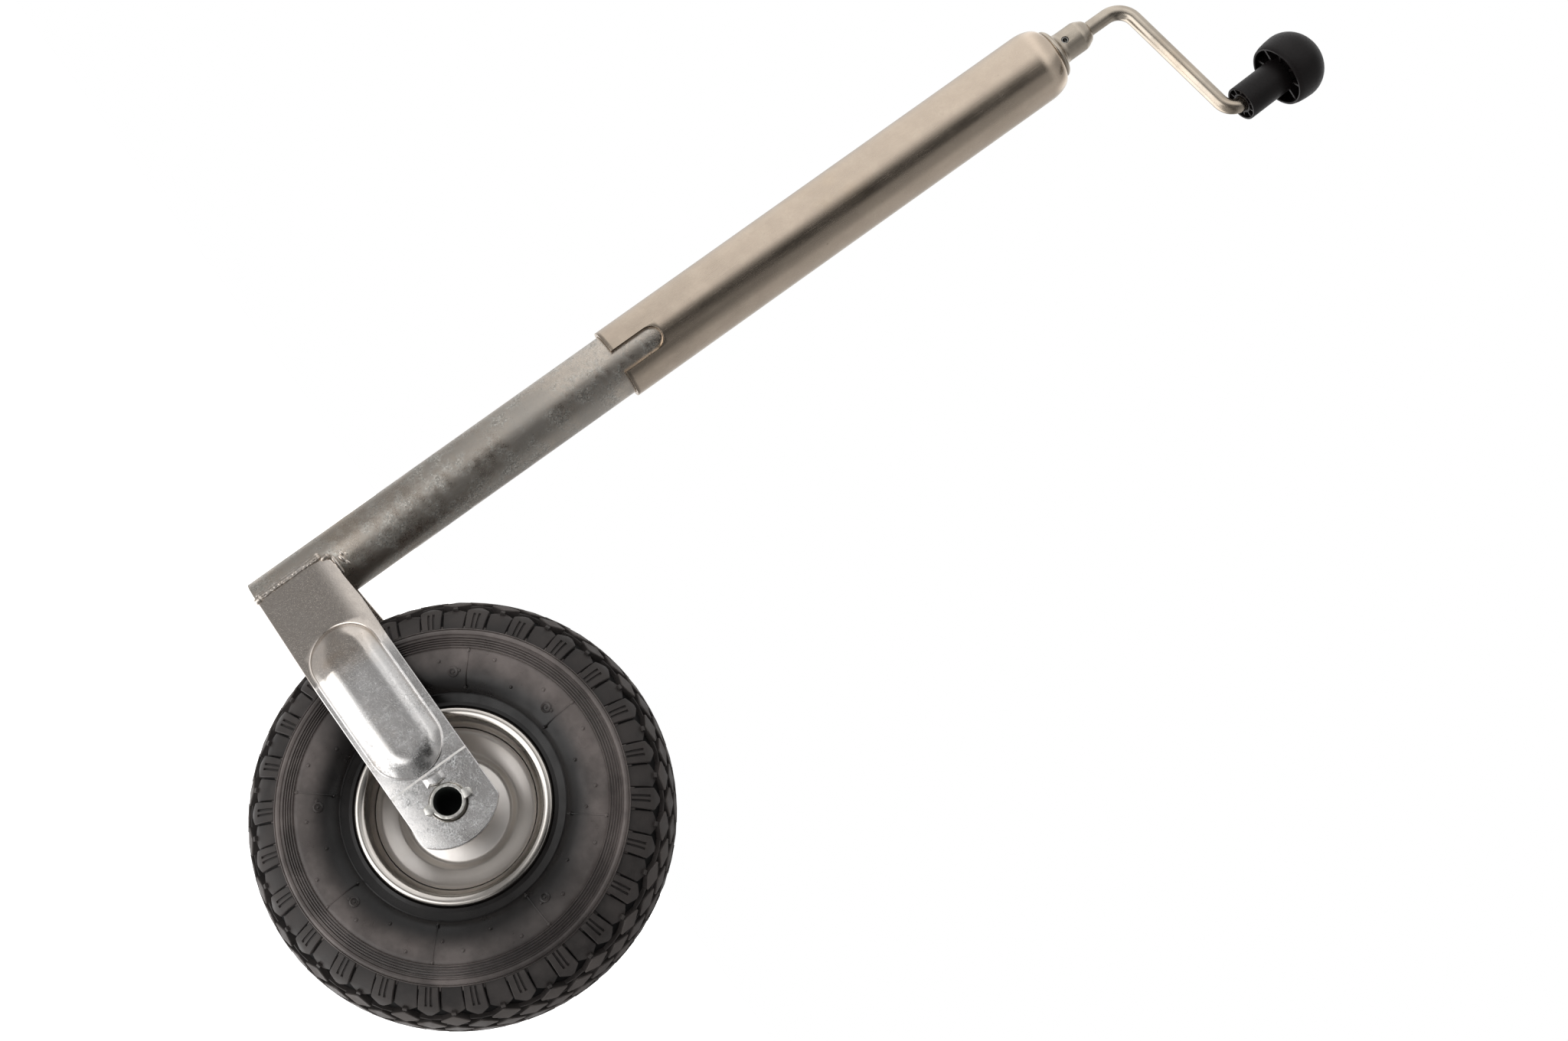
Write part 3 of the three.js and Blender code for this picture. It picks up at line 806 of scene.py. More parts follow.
def arm_welds():
    low, high = AXLE.z - ARM_HALF_WIDTH + 1, AXLE.z + ARM_HALF_WIDTH - 7
    for name, side in SIDES:
        shape = Shape()
        for depth, away, radius, seed in (
                (23.4, -1.4, 2.0, 5.0), (22.2, -3.2, 1.9, 9.0), (24.3, -0.4, 1.0, 13.0)):
            line = []
            for k in range(WELD_POINTS):
                z = low + (high - low) * k / (WELD_POINTS - 1)
                wobble = 0.7 * noise.noise(Vector((z * 0.19, side * 3.0, seed)))
                line.append(Vector((ARM_FROM_X + 0.6 + away + wobble, side * depth, z)))
            shape.add(*lumpy_bead(line, radius, 0.24 if radius < 1.5 else 0.10, side * seed))
        for x, y, z, radius in (
                (-1.5, 23.6, low + 0.5, 2.6), (-2.5, 22.9, low + 3.5, 2.2), (0.5, 23.4, high + 2, 2.0)):
            blob = [Vector((x, side * y, z + k * 0.6)) for k in range(-5, 6)]
            shape.add(*lumpy_bead(blob, radius, 0.08, side + z))
        for x, z, length, radius in (
                (3, 31, 5, 1.3), (6, 29.5, 6, 1.7), (9.5, 31, 4, 1.2), (5, 33.5, 3, 0.9)):
            splash = []
            for k in range(7):
                # Opposite the outer tube's slots, so that they stay clear of its wall when wound in.
                along = -side * (x + length * (k / 6 - 0.5))
                splash.append(on_inner_tube(along, side, AXLE.z + z + k * 0.25, -0.6))
            shape.add(*lumpy_bead(splash, radius, 0.3, side + x))
        for z in (AXLE.z + ARM_HALF_WIDTH - 1.2, AXLE.z - ARM_HALF_WIDTH + 1.2):
            short = [on_inner_tube(1.5 + k * 0.9, side, z, 0.6) for k in range(14)]
            shape.add(*lumpy_bead(short, 1.7, 0.15, side + z))
        finished(make_object(f"weld_{name}", shape), "fork", "zinc_plate", WELD, sharp_degrees=60)


arm_welds()


# ---------------------------------------------------------------- axle
def axle_tube():
    """A pipe whose ends are swaged out into two lugs each, at the top and at the bottom."""
    sides = 120
    profile = soften(ring_profile(AXLE_BORE_R, AXLE_R, -AXLE_HALF, AXLE_HALF), 0.5)
    fine = []
    for (r0, z0), (r1, z1) in zip(profile, profile[1:]):
        steps = 26 if abs(z1 - z0) > 20 else 1
        fine += [(r0 + (r1 - r0) * k / steps, z0 + (z1 - z0) * k / steps) for k in range(steps)]
    fine.append(fine[0])
    points, faces = lathe(fine, sides)
    moved = []
    for x, y, z in points:
        r, turn = sqrt(x * x + y * y), atan2(y, x)
        lug = max(0, cos(2 * (turn - radians(80)))) ** 10
        end = min(max((abs(z) - 49.6) / 1.2, 0), 1)
        push = 0.9 * lug * end * (1 if r > 9.6 else 0.5)
        dent = 0.12 * noise.noise(Vector((x * 0.6, y * 0.6, z))) * end
        moved.append((x * (r + push + dent) / r, y * (r + push + dent) / r, z + dent))
    shape = Shape().add(moved, faces)
    for turn in (80, 260):
        for side in (-1, 1):
            lug = [(9.6, -3.3), (13.0, -3.0), (14.9, -2.2), (15.1, 2.0), (13.2, 2.9), (9.6, 3.2)]
            place = Matrix.Rotation(radians(turn), 4, "Z") @ Matrix.Translation((0, 0, side * 51.3))
            tool = make_object("lug", prism(lug, -1.5, 1.5, place))
            bevel(tool, 0.5, 3)
            shape.add([v.co / MM for v in tool.data.vertices], [list(f.vertices) for f in tool.data.polygons])
            bpy.data.objects.remove(tool)
    obj = make_object("axle_pipe", shape, WHEEL_PLACE)
    return finished(obj, "fork", "zinc_inner", AXLE_ZINC, "axle_tube")


def axle_nib():
    """The ridge punched into each plate beside the axle's hole."""
    face = arm_face(AXLE.x - 15)
    base = [(-21.5, -6.6), (-13.6, -7.0), (-11.4, 0.8), (-12.4, 8.0), (-20.0, 8.6)]
    top = [(-18.6, -3.0), (-15.0, -3.2), (-12.8, 0.6), (-13.8, 5.2), (-17.8, 5.4)]
    for name, side in SIDES:
        points = [(AXLE.x + x, side * (face - 1.2), AXLE.z + z) for x, z in base]
        points += [(AXLE.x + x, side * (face + 2.4), AXLE.z + z) for x, z in top]
        obj = make_object(f"fork_nib_{name}", Shape().add(points, tube_faces(2, len(base))))
        bevel(obj, 0.35, 2, 20)
        finished(obj, "fork", "zinc_plate", ZINC_PLATE, sharp_degrees=40)


axle_tube()
axle_nib()
for name, side in SIDES:
    turned(f"axle_shim_{name}", ring_profile(AXLE_R + 0.3, 15, -side * 44.1, -side * 45.7), "fork",
           "zinc_inner", ZINC_INNER, f"axle_washer_{name}", place=WHEEL_PLACE)

# ---------------------------------------------------------------- hub and rim
turned("hub_pipe", ring_profile(13, HUB_R, -42, 42), "wheel", "bare_steel", BARE_STEEL, "hub_tube",
       place=WHEEL_PLACE)
BUSH_PROFILE = ((10.95, 24), (12.7, 24), (12.7, 42.3), (15.5, 42.3), (15.5, 43.8), (10.95, 43.8), (10.95, 24))
for name, side in SIDES:
    turned(f"hub_bearing_{name}", [(r, -side * z) for r, z in BUSH_PROFILE], "wheel", "nylon", NYLON,
           f"hub_bush_{name}", place=WHEEL_PLACE)


def rim_barrel():
    outside = [(45.4, 5), (50.8, 10), (50.8, 29.5), (52.3, 31), (57.2, 31.6), (59.4, 32.4), (59.9, 33.8),
               (59.0, 35.1), (57.4, 35.5)]
    inside = [(55.9, 35.3), (54.2, 34.6), (52.6, 33.3), (51.2, 31.2), (50.1, 28.6), (49.2, 25.6), (48.7, 23),
              (48.7, 11), (43.4, 6)]
    half = outside + inside
    whole = half + [(r, -z) for r, z in half[::-1]] + half[:1]
    obj = make_object("rim_shell", Shape().add(*lathe(soften(whole, 1.0, 4), 160)), WHEEL_PLACE)
    hole = prism(circle(5, 32), 30, 60, WHEEL_PLACE @ Matrix.Rotation(pi / 2, 4, "Y"))
    cut(obj, hole)
    return finished(obj, "wheel", "rim_zinc", RIM_ZINC, "rim_barrel")


def wheel_disc(name, side):
    profile = [(HUB_R + 0.3, 14.4), (30.4, 11.6), (33.4, 11.9), (36.6, 15.6), (44.6, 17.2), (48.5, 20.6),
               (48.5, 25.0), (48.2, 22.8), (47.3, 21.0), (45.8, 20.0), (43.4, 19.2), (40.6, 18.5),
               (35.6, 17.6), (32.6, 14.2), (30.8, 13.7), (HUB_R + 0.3, 16.6), (HUB_R + 0.3, 14.4)]
    shape = Shape().add(*lathe([(r, -side * z) for r, z in soften(profile, 1.2, 5)], 160))
    obj = make_object(f"wheel_dish_{name}", shape, WHEEL_PLACE)
    if name == "far":
        cut(obj, prism(circle(5, 32, 38), -30, -5, WHEEL_PLACE))
    return finished(obj, "wheel", "rim_zinc", DISH_ZINC, f"wheel_disc_{name}")


rim_barrel()
for name, side in SIDES:
    wheel_disc(name, side)


# ---------------------------------------------------------------- tyre
def tyre_section(count=640, open_degrees=128):
    """The tyre's outer section from the crown to the near bead: (s, r, y, normal r, normal y) rows,
    where s is the distance from the crown along the section."""
    power = 2 / TYRE_ROUNDNESS
    half_height = TYRE_R - TYRE_MIDDLE_R
    rows = []
    s = 0.0
    for i in range(count + 1):
        t = radians(open_degrees) * i / count
        c = abs(cos(t)) ** power * (1 if cos(t) > 0 else -1)
        r, y = TYRE_MIDDLE_R + half_height * c, TYRE_HALF_WIDTH * sin(t) ** power
        if rows:
            s += sqrt((r - rows[-1][1]) ** 2 + (y - rows[-1][2]) ** 2)
        rows.append((s, r, y))
    result = []
    for i, (s, r, y) in enumerate(rows):
        before, after = rows[max(i - 1, 0)], rows[min(i + 1, count)]
        dr, dy = after[1] - before[1], after[2] - before[2]
        length = sqrt(dr * dr + dy * dy)
        result.append((s, r, y, dy / length, -dr / length))
    result[0] = (0.0, TYRE_R, 0.0, 1.0, 0.0)
    return result


SECTION = tyre_section()
SECTION_END = SECTION[-1][0]


def on_section(s, height=0.0):
    """(r, y) at a distance s from the crown, positive to the near side, lifted by a height."""
    size = min(abs(s), SECTION_END)
    low = min(bisect_right(SECTION, size, key=itemgetter(0)) - 1, len(SECTION) - 2)
    a, b = SECTION[low], SECTION[low + 1]
    t = (size - a[0]) / (b[0] - a[0])
    r, y, nr, ny = (a[k] + (b[k] - a[k]) * t for k in (1, 2, 3, 4))
    r, y = r + nr * height, y + ny * height
    return r, (y if s >= 0 else -y)


def on_tyre(turn, s, height=0.0):
    r, y = on_section(s, height)
    return (r * cos(turn), r * sin(turn), y)


LUGS = 26
HALF_PITCH = 2 * pi / (2 * LUGS)
ROW_STEP = 6.6
GROOVE = 4.2
LUG_TIP_S, LUG_WIDE_S, LUG_BASE_S = 27.6, 33.2, 49.6
RIB_COUNT, RIB_FROM_S, RIB_STEP = 5, 55.2, 1.5
BEAD_LINE_S = 90.6
MOULD_LINES, MARKED_LINES = 8, (0, 2, 3, 5, 6)


def carcass_profile():
    """Section of the tyre without its blocks: groove floor, rings, fine ribs and bead line."""
    side = [(s, -GROOVE) for s in (0, 3.5, 7, 10.5, 14, 17.5, 21, 24, 27, 30, 32.5)]
    side += [(34, -3.2), (38, -3.0), (42, -2.8), (46, -2.6), (LUG_BASE_S - 0.6, -2.4)]
    side += [(LUG_BASE_S, 0.0), (50.0, 0.1), (50.3, -0.5), (50.8, -0.4), (51.2, 0.7), (52.4, 1.15),
             (53.5, 0.7), (54.0, -0.3), (54.8, -0.3)]
    for i in range(RIB_COUNT):
        s = RIB_FROM_S + i * RIB_STEP
        side += [(s, -0.5), (s + 0.26, 0.9), (s + 0.52, 0.9), (s + 0.78, -0.5)]
    side += [(s, 0.0) for s in (63.2, 65, 68, 71, 74, 77)]
    side += [(80, -0.2), (83, -0.6), (86, -1.2), (88.4, -1.9), (BEAD_LINE_S - 0.6, -2.4), (BEAD_LINE_S, -1.7),
             (BEAD_LINE_S + 0.5, -3.0), (93, -3.4), (SECTION_END, -2.6)]
    near = [on_section(s, height) for s, height in side]
    bead = [(60.9, 33.8), (59.9, 32.4), (58.4, 31.1), (53, 30.5), (51.1, 28.8), (51.1, 19)]
    inside = [(r - 7, y * 0.86) for r, y in (on_section(s) for s in range(88, -1, -8))]
    half = near + bead + [(r, y) for r, y in inside if r > 62]
    mirrored = [(r, -y) for r, y in half[::-1] if y > 1e-6]
    return half + mirrored + half[:1]


def raised_block(outline, turn, height, floor, edge=0.45):
    """A closed block on the tyre from an outline of (t, s) points, t in millimetres at the crown."""
    middle = (sum(t for t, _ in outline) / len(outline), sum(s for _, s in outline) / len(outline))
    points, count = [], len(outline)
    for shrink, level in ((0, floor), (0, height - edge), (edge, height)):
        for t, s in outline:
            away = Vector((t - middle[0], s - middle[1]))
            kept = max(0.0, 1 - shrink / away.length)
            points.append(on_tyre(turn + (middle[0] + away.x * kept) / TYRE_R,
                                  middle[1] + away.y * kept, level))
    points.append(on_tyre(turn + middle[0] / TYRE_R, middle[1], height))
    points.append(on_tyre(turn + middle[0] / TYRE_R, middle[1], floor))
    faces = quads(3, count)
    for i in range(count):
        j = (i + 1) % count
        faces += [[2 * count + i, 2 * count + j, 3 * count], [j, i, 3 * count + 1]]
    return points, faces


def crown_diamond(turn, s):
    """A diamond of the crown, wide along the tread, and the thin ties that join it to its neighbours."""
    half_wide, half_long = 9.0, 5.4
    outline = [(-half_wide, -0.4), (-0.6, -half_long), (0.6, -half_long), (half_wide, -0.4),
               (half_wide, 0.4), (0.6, half_long), (-0.6, half_long), (-half_wide, 0.4)]
    points, faces = raised_block([(t, s + ds) for t, ds in outline], turn, 0.0, -GROOVE - 0.6)
    reach = HALF_PITCH * TYRE_R
    for wide, long in ((reach, 0.35), (0.45, ROW_STEP)):
        tie = [(-wide, s - long), (wide, s - long), (wide, s + long), (-wide, s + long)]
        more, sides = raised_block(tie, turn, -1.3, -GROOVE - 0.6, 0.15)
        faces += [[i + len(points) for i in f] for f in sides]
        points += more
    return points, faces


def lug_half_angle(s, wide):
    """Half the angle that a shoulder lug covers at s: full width up to the wide part, then a point."""
    if s >= LUG_WIDE_S:
        taper = (s - LUG_WIDE_S) / (LUG_BASE_S - LUG_WIDE_S)
        return wide * (1 - 0.06 * taper)
    return wide * (0.12 + 0.88 * (s - LUG_TIP_S) / (LUG_WIDE_S - LUG_TIP_S))


def shoulder_lug(turn, side, height, wide, slotted):
    """A house-shaped lug from the shoulder ring to its point in the crown."""
    slot_from, slot_to = 36.6, 48.8
    rows = [LUG_BASE_S, LUG_BASE_S - 0.4, slot_to + 0.15, slot_to, 46, 43, 40, slot_from, slot_from - 0.3,
            34.8, LUG_WIDE_S, 31.4, 29.4, LUG_TIP_S + 0.5, LUG_TIP_S]
    across = [-1, -0.93, -0.36, -0.32, -0.16, -0.12, 0.12, 0.16, 0.32, 0.36, 0.93, 1]
    if not slotted:
        across = [-1, -0.93, 0, 0.93, 1]
    points = []
    for k, s in enumerate(rows):
        half = lug_half_angle(s, wide)
        for u in across:
            level = height - 0.16 * max(0, LUG_WIDE_S + 0.8 - s)
            if abs(u) == 1 or k in (0, len(rows) - 1):
                level -= 0.5
            elif slotted and 0.16 <= abs(u) <= 0.32 and slot_from <= s <= slot_to:
                level -= 1.1
            points.append(on_tyre(turn + half * u, side * s, level))
    columns = len(across)
    faces = quads(len(rows), columns, closed=False)
    rim = list(range(columns)) + [k * columns + columns - 1 for k in range(1, len(rows))]
    last = (len(rows) - 1) * columns
    rim += [last + i for i in range(columns - 2, -1, -1)] + [k * columns for k in range(len(rows) - 2, 0, -1)]
    base = len(points)
    for i in rim:
        s, u = rows[i // columns], across[i % columns]
        points.append(on_tyre(turn + lug_half_angle(s, wide) * u, side * s, -GROOVE - 0.6))
    count = len(rim)
    faces += [[rim[i], rim[(i + 1) % count], base + (i + 1) % count, base + i] for i in range(count)]
    below = {i: base + k for k, i in enumerate(rim)}
    floor_rows = [[below[i] for i in range(k, k + columns) if i in below]
                  for k in range(0, last + 1, columns)]
    faces += [a + b[::-1] for a, b in zip(floor_rows, floor_rows[1:])]
    return points, faces


def tyre():
    carcass = Shape().add(*lathe(carcass_profile(), 260))
    blocks = Shape()
    for i in range(2 * LUGS):
        turn = HALF_PITCH * i
        for row in range(-4, 4):
            if (row + i) % 2 == 0:
                blocks.add(*crown_diamond(turn, (row + 0.5) * ROW_STEP))
        for side in (-1, 1):
            raised = (i + (side > 0)) % 2 == 1
            if raised:
                blocks.add(*shoulder_lug(turn, side, 0.0, HALF_PITCH * 0.46, True))
                continue
            blocks.add(*shoulder_lug(turn, side, -1.7, HALF_PITCH * 0.50, False))
            nub = [(-1.5, -1.1), (1.5, -1.1), (1.5, 1.1), (-1.5, 1.1)]
            blocks.add(*raised_block([(t, side * (31.0 + ds)) for t, ds in nub], turn, 0.0, -GROOVE, 0.3))
    for side in (-1, 1):
        for i in range(MOULD_LINES):
            turn = 2 * pi * i / MOULD_LINES + radians(4)
            line = [Vector(on_tyre(turn, side * s, 0.0)) for s in range(62, 89, 2)]
            carcass.add(*swept(line, lambda k: 0.38, 6))
            for s, away in ((63.5, 0.0), (76, 0.055), (86, 0.0), (70, 0.2), (79, 0.42), (67, 0.6)):
                carcass.add(*dome(turn + away, side * s, 1.1, 1.0))
            if i in MARKED_LINES:
                carcass.add(*ring_mark(turn + 0.1, side * 77, 2.5))
                carcass.add(*dome(turn + 0.1, side * 77, 0.9, 0.8))
    finished(make_object("tyre_carcass", carcass, WHEEL_PLACE), "wheel", "tyre_rubber", RUBBER, "tyre",
             sharp_degrees=30)
    finished(make_object("tyre_tread_blocks", blocks, WHEEL_PLACE), "wheel", "tyre_rubber", BLOCK_RUBBER,
             sharp_degrees=24)


def dome(turn, s, radius, height):
    """A small closed moulding nub on the tyre."""
    points, sides = [], 10
    levels = ((1.0, -0.6), (1.0, 0.0), (0.75, height * 0.7), (0.35, height))
    for share, level in levels:
        for i in range(sides):
            t = 2 * pi * i / sides
            r = on_section(s)[0]
            points.append(on_tyre(turn + radius * share * cos(t) / r, s + radius * share * sin(t), level))
    return points, tube_faces(len(levels), sides)


def ring_mark(turn, s, radius):
    """A small raised ring left by a mould insert."""
    r = on_section(s)[0]
    line = [Vector(on_tyre(turn + radius * cos(t) / r, s + radius * sin(t), 0.1))
            for t in (2 * pi * i / 24 for i in range(25))]
    return swept(line, lambda k: 0.8, 6)


def block_rubber():
    """Tread rubber: a little dusty, with painted shade in the grooves, on the blocks' sides and on the tops
    away from the crown.
    """
    f = Finish("tread_rubber", 0.0, 0.6, (0.07, 0.06, 0.055))
    crown = f.spread(tread_lift(f), -0.0012, -0.0004)
    dusty = f.spread(f.noise(45, 5, 0.65), 0.3, 0.7)
    f.shader.inputs["Specular IOR Level"].default_value = RUBBER_SPECULAR
    # Painted shade: the grooves and the blocks' sides, below the raised tops, are drawn darker.
    side = f.mix(dusty, (0.020, 0.017, 0.016), (0.044, 0.0375, 0.035))
    shaded_low_top = f.mix(dusty, (0.026, 0.022, 0.0205), (0.048, 0.041, 0.038))
    high_top = f.mix(dusty, (0.046, 0.039, 0.036), (0.074, 0.063, 0.058))
    # Painted shade: block tops away from the crown, on the shoulders, are drawn darker.
    top = f.mix(f.spread(wheel_radius(f), 0.1215, 0.1245), shaded_low_top, high_top)
    f.color(f.mix(crown, side, top))
    f.rough(f.spread(f.noise(90, 4, 0.6), 0.3, 0.7, 0.5, 0.72))
    f.relief(f.noise(900, 2, 0.6), 0.05, 0.5)
    return f.material


BLOCK_RUBBER = block_rubber()
tyre()


# ---------------------------------------------------------------- valve
def valve():
    corners = [Vector((54, 0, 0)), Vector((38, 0, 0)), Vector((38, 0, -33))]
    line = bent_line(corners, [8])
    straight = [line[-2].lerp(line[-1], k / 60) for k in range(1, 61)]
    count = len(line) - 1

    def radius_at(k):
        return 4.0 if k < count else 3.7 + 0.25 * sin((k - count) * 1.9)

    obj = make_object("valve_body", Shape().add(*swept(line[:-1] + straight, radius_at, 28)), WHEEL_PLACE)
    finished(obj, "wheel", "bare_steel", BRASS_NICKEL, "valve_stem", sharp_degrees=60)
    profile = [(4.3, -29), (6, -29.3), (6, -37), (5, -38), (0, -38), (0, -36.6), (4.3, -36.6), (4.3, -29)]
    points, faces = lathe(profile, 72)
    ribbed = []
    for x, y, z in points:
        r = sqrt(x * x + y * y)
        grip = 0.18 * sin(24 * atan2(y, x)) if r > 5.4 else 0
        share = (r + grip) / r if r > 0 else 1
        ribbed.append((x * share + 38, y * share, z))
    obj = make_object("valve_dust_cap", Shape().add(ribbed, faces), WHEEL_PLACE)
    finished(obj, "wheel", "black_plastic", BLACK_PLASTIC, "valve_cap")


BRASS_NICKEL = steel("valve_metal", (0.60, 0.56, 0.48), 0.3)
valve()

# ---------------------------------------------------------------- spindle and what is on it
THREAD_CREST_R, THREAD_ROOT_R, THREAD_PITCH, THREAD_FROM_Z = 10.4, 8.4, 4.0, -162


def spindle():
    core = [(0, -164), (7.4, -164), (THREAD_ROOT_R, -163), (THREAD_ROOT_R, 146.8), (12, 146.8), (12, 151.8),
            (6, 151.8), (6, 182.4), (5.4, 183), (0, 183)]
    shape = Shape().add(*lathe(core, 64))
    per_turn = 24
    turns = (146 - THREAD_FROM_Z) / THREAD_PITCH
    section = ((THREAD_ROOT_R - 0.4, -1.25), (THREAD_CREST_R, -0.72), (THREAD_CREST_R, 0.72),
               (THREAD_ROOT_R - 0.4, 1.25))
    points = []
    count = int(turns * per_turn)
    for k in range(count + 1):
        turn = -2 * pi * k / per_turn
        for r, z in section:
            points.append((r * cos(turn), r * sin(turn), THREAD_FROM_Z + THREAD_PITCH * k / per_turn + z))
    shape.add(points, tube_faces(count + 1, 4))
    return finished(make_object("spindle_screw", shape), "crank", "bare_steel", BARE_STEEL, "spindle")


spindle()
turned("spindle_end_washer", ring_profile(10.6, 14, -158.2, -155.7), "crank", "zinc_inner", ZINC_INNER,
       "spindle_stop_washer")
turned("spindle_nut_body", ring_profile(10.7, INNER_BORE_R - 0.3, -133.5, -107.5), "fork", "bronze", BRONZE,
       "spindle_nut", edge=0.8)


# ---------------------------------------------------------------- crank
def crank_socket():
    profile = [(0, 183.3), (6.3, 183.3), (6.3, 165.8), (16.4, 165.8), (17, 166.5), (17, 167.9), (16.2, 169.2),
               (14.2, 170.2), (12.0, 171.2), (10.8, 172.4), (10.3, 174.2), (10.2, 176), (10.2, 188.2),
               (9.7, 190.4), (7.6, 194.6), (5.3, 196.5), (5.3, 186.3), (0, 186.3)]
    obj = make_object("crank_collar", Shape().add(*lathe(soften(profile, 0.7, 4), 128)))
    across = Matrix.Translation((0, 0, PIN_HOLE_Z)) @ Matrix.Rotation(pi / 2, 4, "X")
    cut(obj, prism(circle(2.5, 40), -15, 15, across))
    bevel(obj, 0.25)
    finished(obj, "crank", "zinc_crank", ZINC_CRANK, "crank_socket")
    slit = radians(16)
    pin = Shape().add(*lathe(soften(ring_profile(1.6, 2.2, -9.5, 9.5), 0.15), 40, slit / 2, 2 * pi - slit))
    finished(make_object("crank_roll_pin", pin, across), "crank", "bare_steel", BARE_STEEL,
             "crank_spring_pin")


def crank_rod():
    bend = Vector((0, 0, CRANK_BEND_Z))
    corners = [Vector((0, 0, 186.6)), bend, KNOB_POINT, KNOB_POINT + PIN_AXIS * PIN_LENGTH]
    line = bent_line(corners, [14, 10])
    obj = make_object("crank_handle", Shape().add(*swept(line, lambda k: ROD_R, 48)))
    finished(obj, "crank", "zinc_crank", ZINC_CRANK, "crank_rod", sharp_degrees=50)


crank_socket()
crank_rod()


# ---------------------------------------------------------------- knob
def add_ribs(shape, count, inner_r, outer_r, half_thick, low, high):
    """Upright ribs between two radii, evenly round the axis."""
    outline = [(inner_r, -half_thick), (outer_r, -half_thick), (outer_r, half_thick), (inner_r, half_thick)]
    for i in range(count):
        rib = prism(outline, low, high, Matrix.Rotation(2 * pi * i / count, 4, "Z"))
        shape.add(rib.points, rib.faces)


def knob_sleeve():
    outer_r, inner_r, ring_r, mouth, floor = 11.7, 10.3, 6.9, 9.5, 18
    profile = [(inner_r, mouth), (outer_r, mouth), (outer_r, 44), (8.2, 44), (8.2, 60), (5.3, 60),
               (5.3, mouth + 0.8), (ring_r, mouth + 0.8), (ring_r, floor), (inner_r, floor), (inner_r, mouth)]
    shape = Shape().add(*lathe(soften(profile, 0.35), 96))
    add_ribs(shape, 10, ring_r - 0.3, inner_r + 0.3, 0.5, mouth + 1.2, floor + 0.3)
    finished(make_object("knob_grip_sleeve", shape, KNOB_PLACE), "knob", "black_plastic", BLACK_PLASTIC,
             "knob_sleeve")


def knob_head():
    rim_z, middle_z, top_z, radius = 42, 55, 75, 22.9
    dome_out = quarter(0, middle_z, radius, top_z - middle_z, 20)
    dome_in = quarter(0, middle_z, radius - 2, top_z - 2.6 - middle_z, 20)
    inside = [(20.6, 50), (20.0, 45.5), (19.4, rim_z + 0.4)]
    outside = [(19.8, rim_z), (20.7, rim_z), (21.1, rim_z + 0.4), (22.0, 45.5), (22.6, 50)]
    profile = [(0, top_z - 2.6), *dome_in[:-1][::-1], *inside, *outside, *dome_out[:-1], (0, top_z)]
    shape = Shape().add(*lathe(profile, 128))
    shape.add(*lathe(soften(ring_profile(8.5, 10.4, 45, 72), 0.4), 72))
    shape.add(*lathe([(0, 62.5), (19.2, 62.5), (17.6, 66), (9, 71.2), (0, 72.6)], 96))
    add_ribs(shape, 8, 9.8, 20.3, 0.75, 45, 64)
    finished(make_object("knob_ball_head", shape, KNOB_PLACE), "knob", "black_plastic", BLACK_PLASTIC,
             "knob_head", sharp_degrees=34)


knob_sleeve()
knob_head()

# ---------------------------------------------------------------- inner CAD pieces that stay as they are
KEPT = {
    "dome_bush": BRONZE, "thrust_cage": BRONZE,
    "thrust_race_upper": BARE_STEEL, "thrust_race_lower": BARE_STEEL,
    "spindle_stop_pin": BARE_STEEL, "knob_push_nut": BARE_STEEL, "guide_ring": NYLON, "air_tube": BUTYL,
}
KEPT.update({f"thrust_ball_{i + 1}": BARE_STEEL for i in range(8)})
for node_name, material in KEPT.items():
    node = frame["nodes"][node_name]
    node.data.materials.clear()
    node.data.materials.append(material)


# ---------------------------------------------------------------- floor, cards, light and camera
def staged(name, points, faces, material):
    mesh = bpy.data.meshes.new(name)
    mesh.from_pydata(points, [], faces)
    obj = linked(bpy.data.objects.new(name, mesh))
    mesh.materials.append(material)
    return obj


def floor_finish():
    """Pale matt paper that glows a little so that it stays white. It is clear from below."""
    f = Finish("floor", 0.0, 0.9, (0.8, 0.8, 0.8))
    cloud = f.spread(f.noise(3, 2), 0.3, 0.7)
    f.color(f.mix(cloud, (0.79, 0.79, 0.79), (0.80, 0.80, 0.80)))
    f.shader.inputs["Emission Color"].default_value = (1, 1, 1, 1)
    f.shader.inputs["Emission Strength"].default_value = 0.95
    both = f.node("ShaderNodeMixShader")
    f.feed(both.inputs["Fac"], f.node("ShaderNodeNewGeometry").outputs["Backfacing"])
    f.tree.links.new(f.shader.outputs["BSDF"], both.inputs[1])
    f.tree.links.new(f.node("ShaderNodeBsdfTransparent").outputs["BSDF"], both.inputs[2])
    f.tree.links.new(both.outputs["Shader"], f.tree.nodes["Material Output"].inputs["Surface"])
    return f.material


def glow_finish():
    """Light whose strength is painted on the mesh."""
    material = bpy.data.materials.new("studio_shell")
    material.use_nodes = True
    tree = material.node_tree
    tree.nodes.clear()
    paint = tree.nodes.new("ShaderNodeAttribute")
    paint.attribute_name = "glow"
    lamp = tree.nodes.new("ShaderNodeEmission")
    out = tree.nodes.new("ShaderNodeOutputMaterial")
    tree.links.new(paint.outputs["Fac"], lamp.inputs["Strength"])
    tree.links.new(lamp.outputs[0], out.inputs["Surface"])
    material.cycles.emission_sampling = "NONE"
    return material


def between(value, *stops):
    """A level drawn through (place, level) stops, flat before the first and after the last."""
    for (x0, y0), (x1, y1) in zip(stops, stops[1:]):
        if value <= x1:
            t = min(max((value - x0) / (x1 - x0), 0), 1)
            return y0 + (y1 - y0) * t * t * (3 - 2 * t)
    return stops[-1][1]


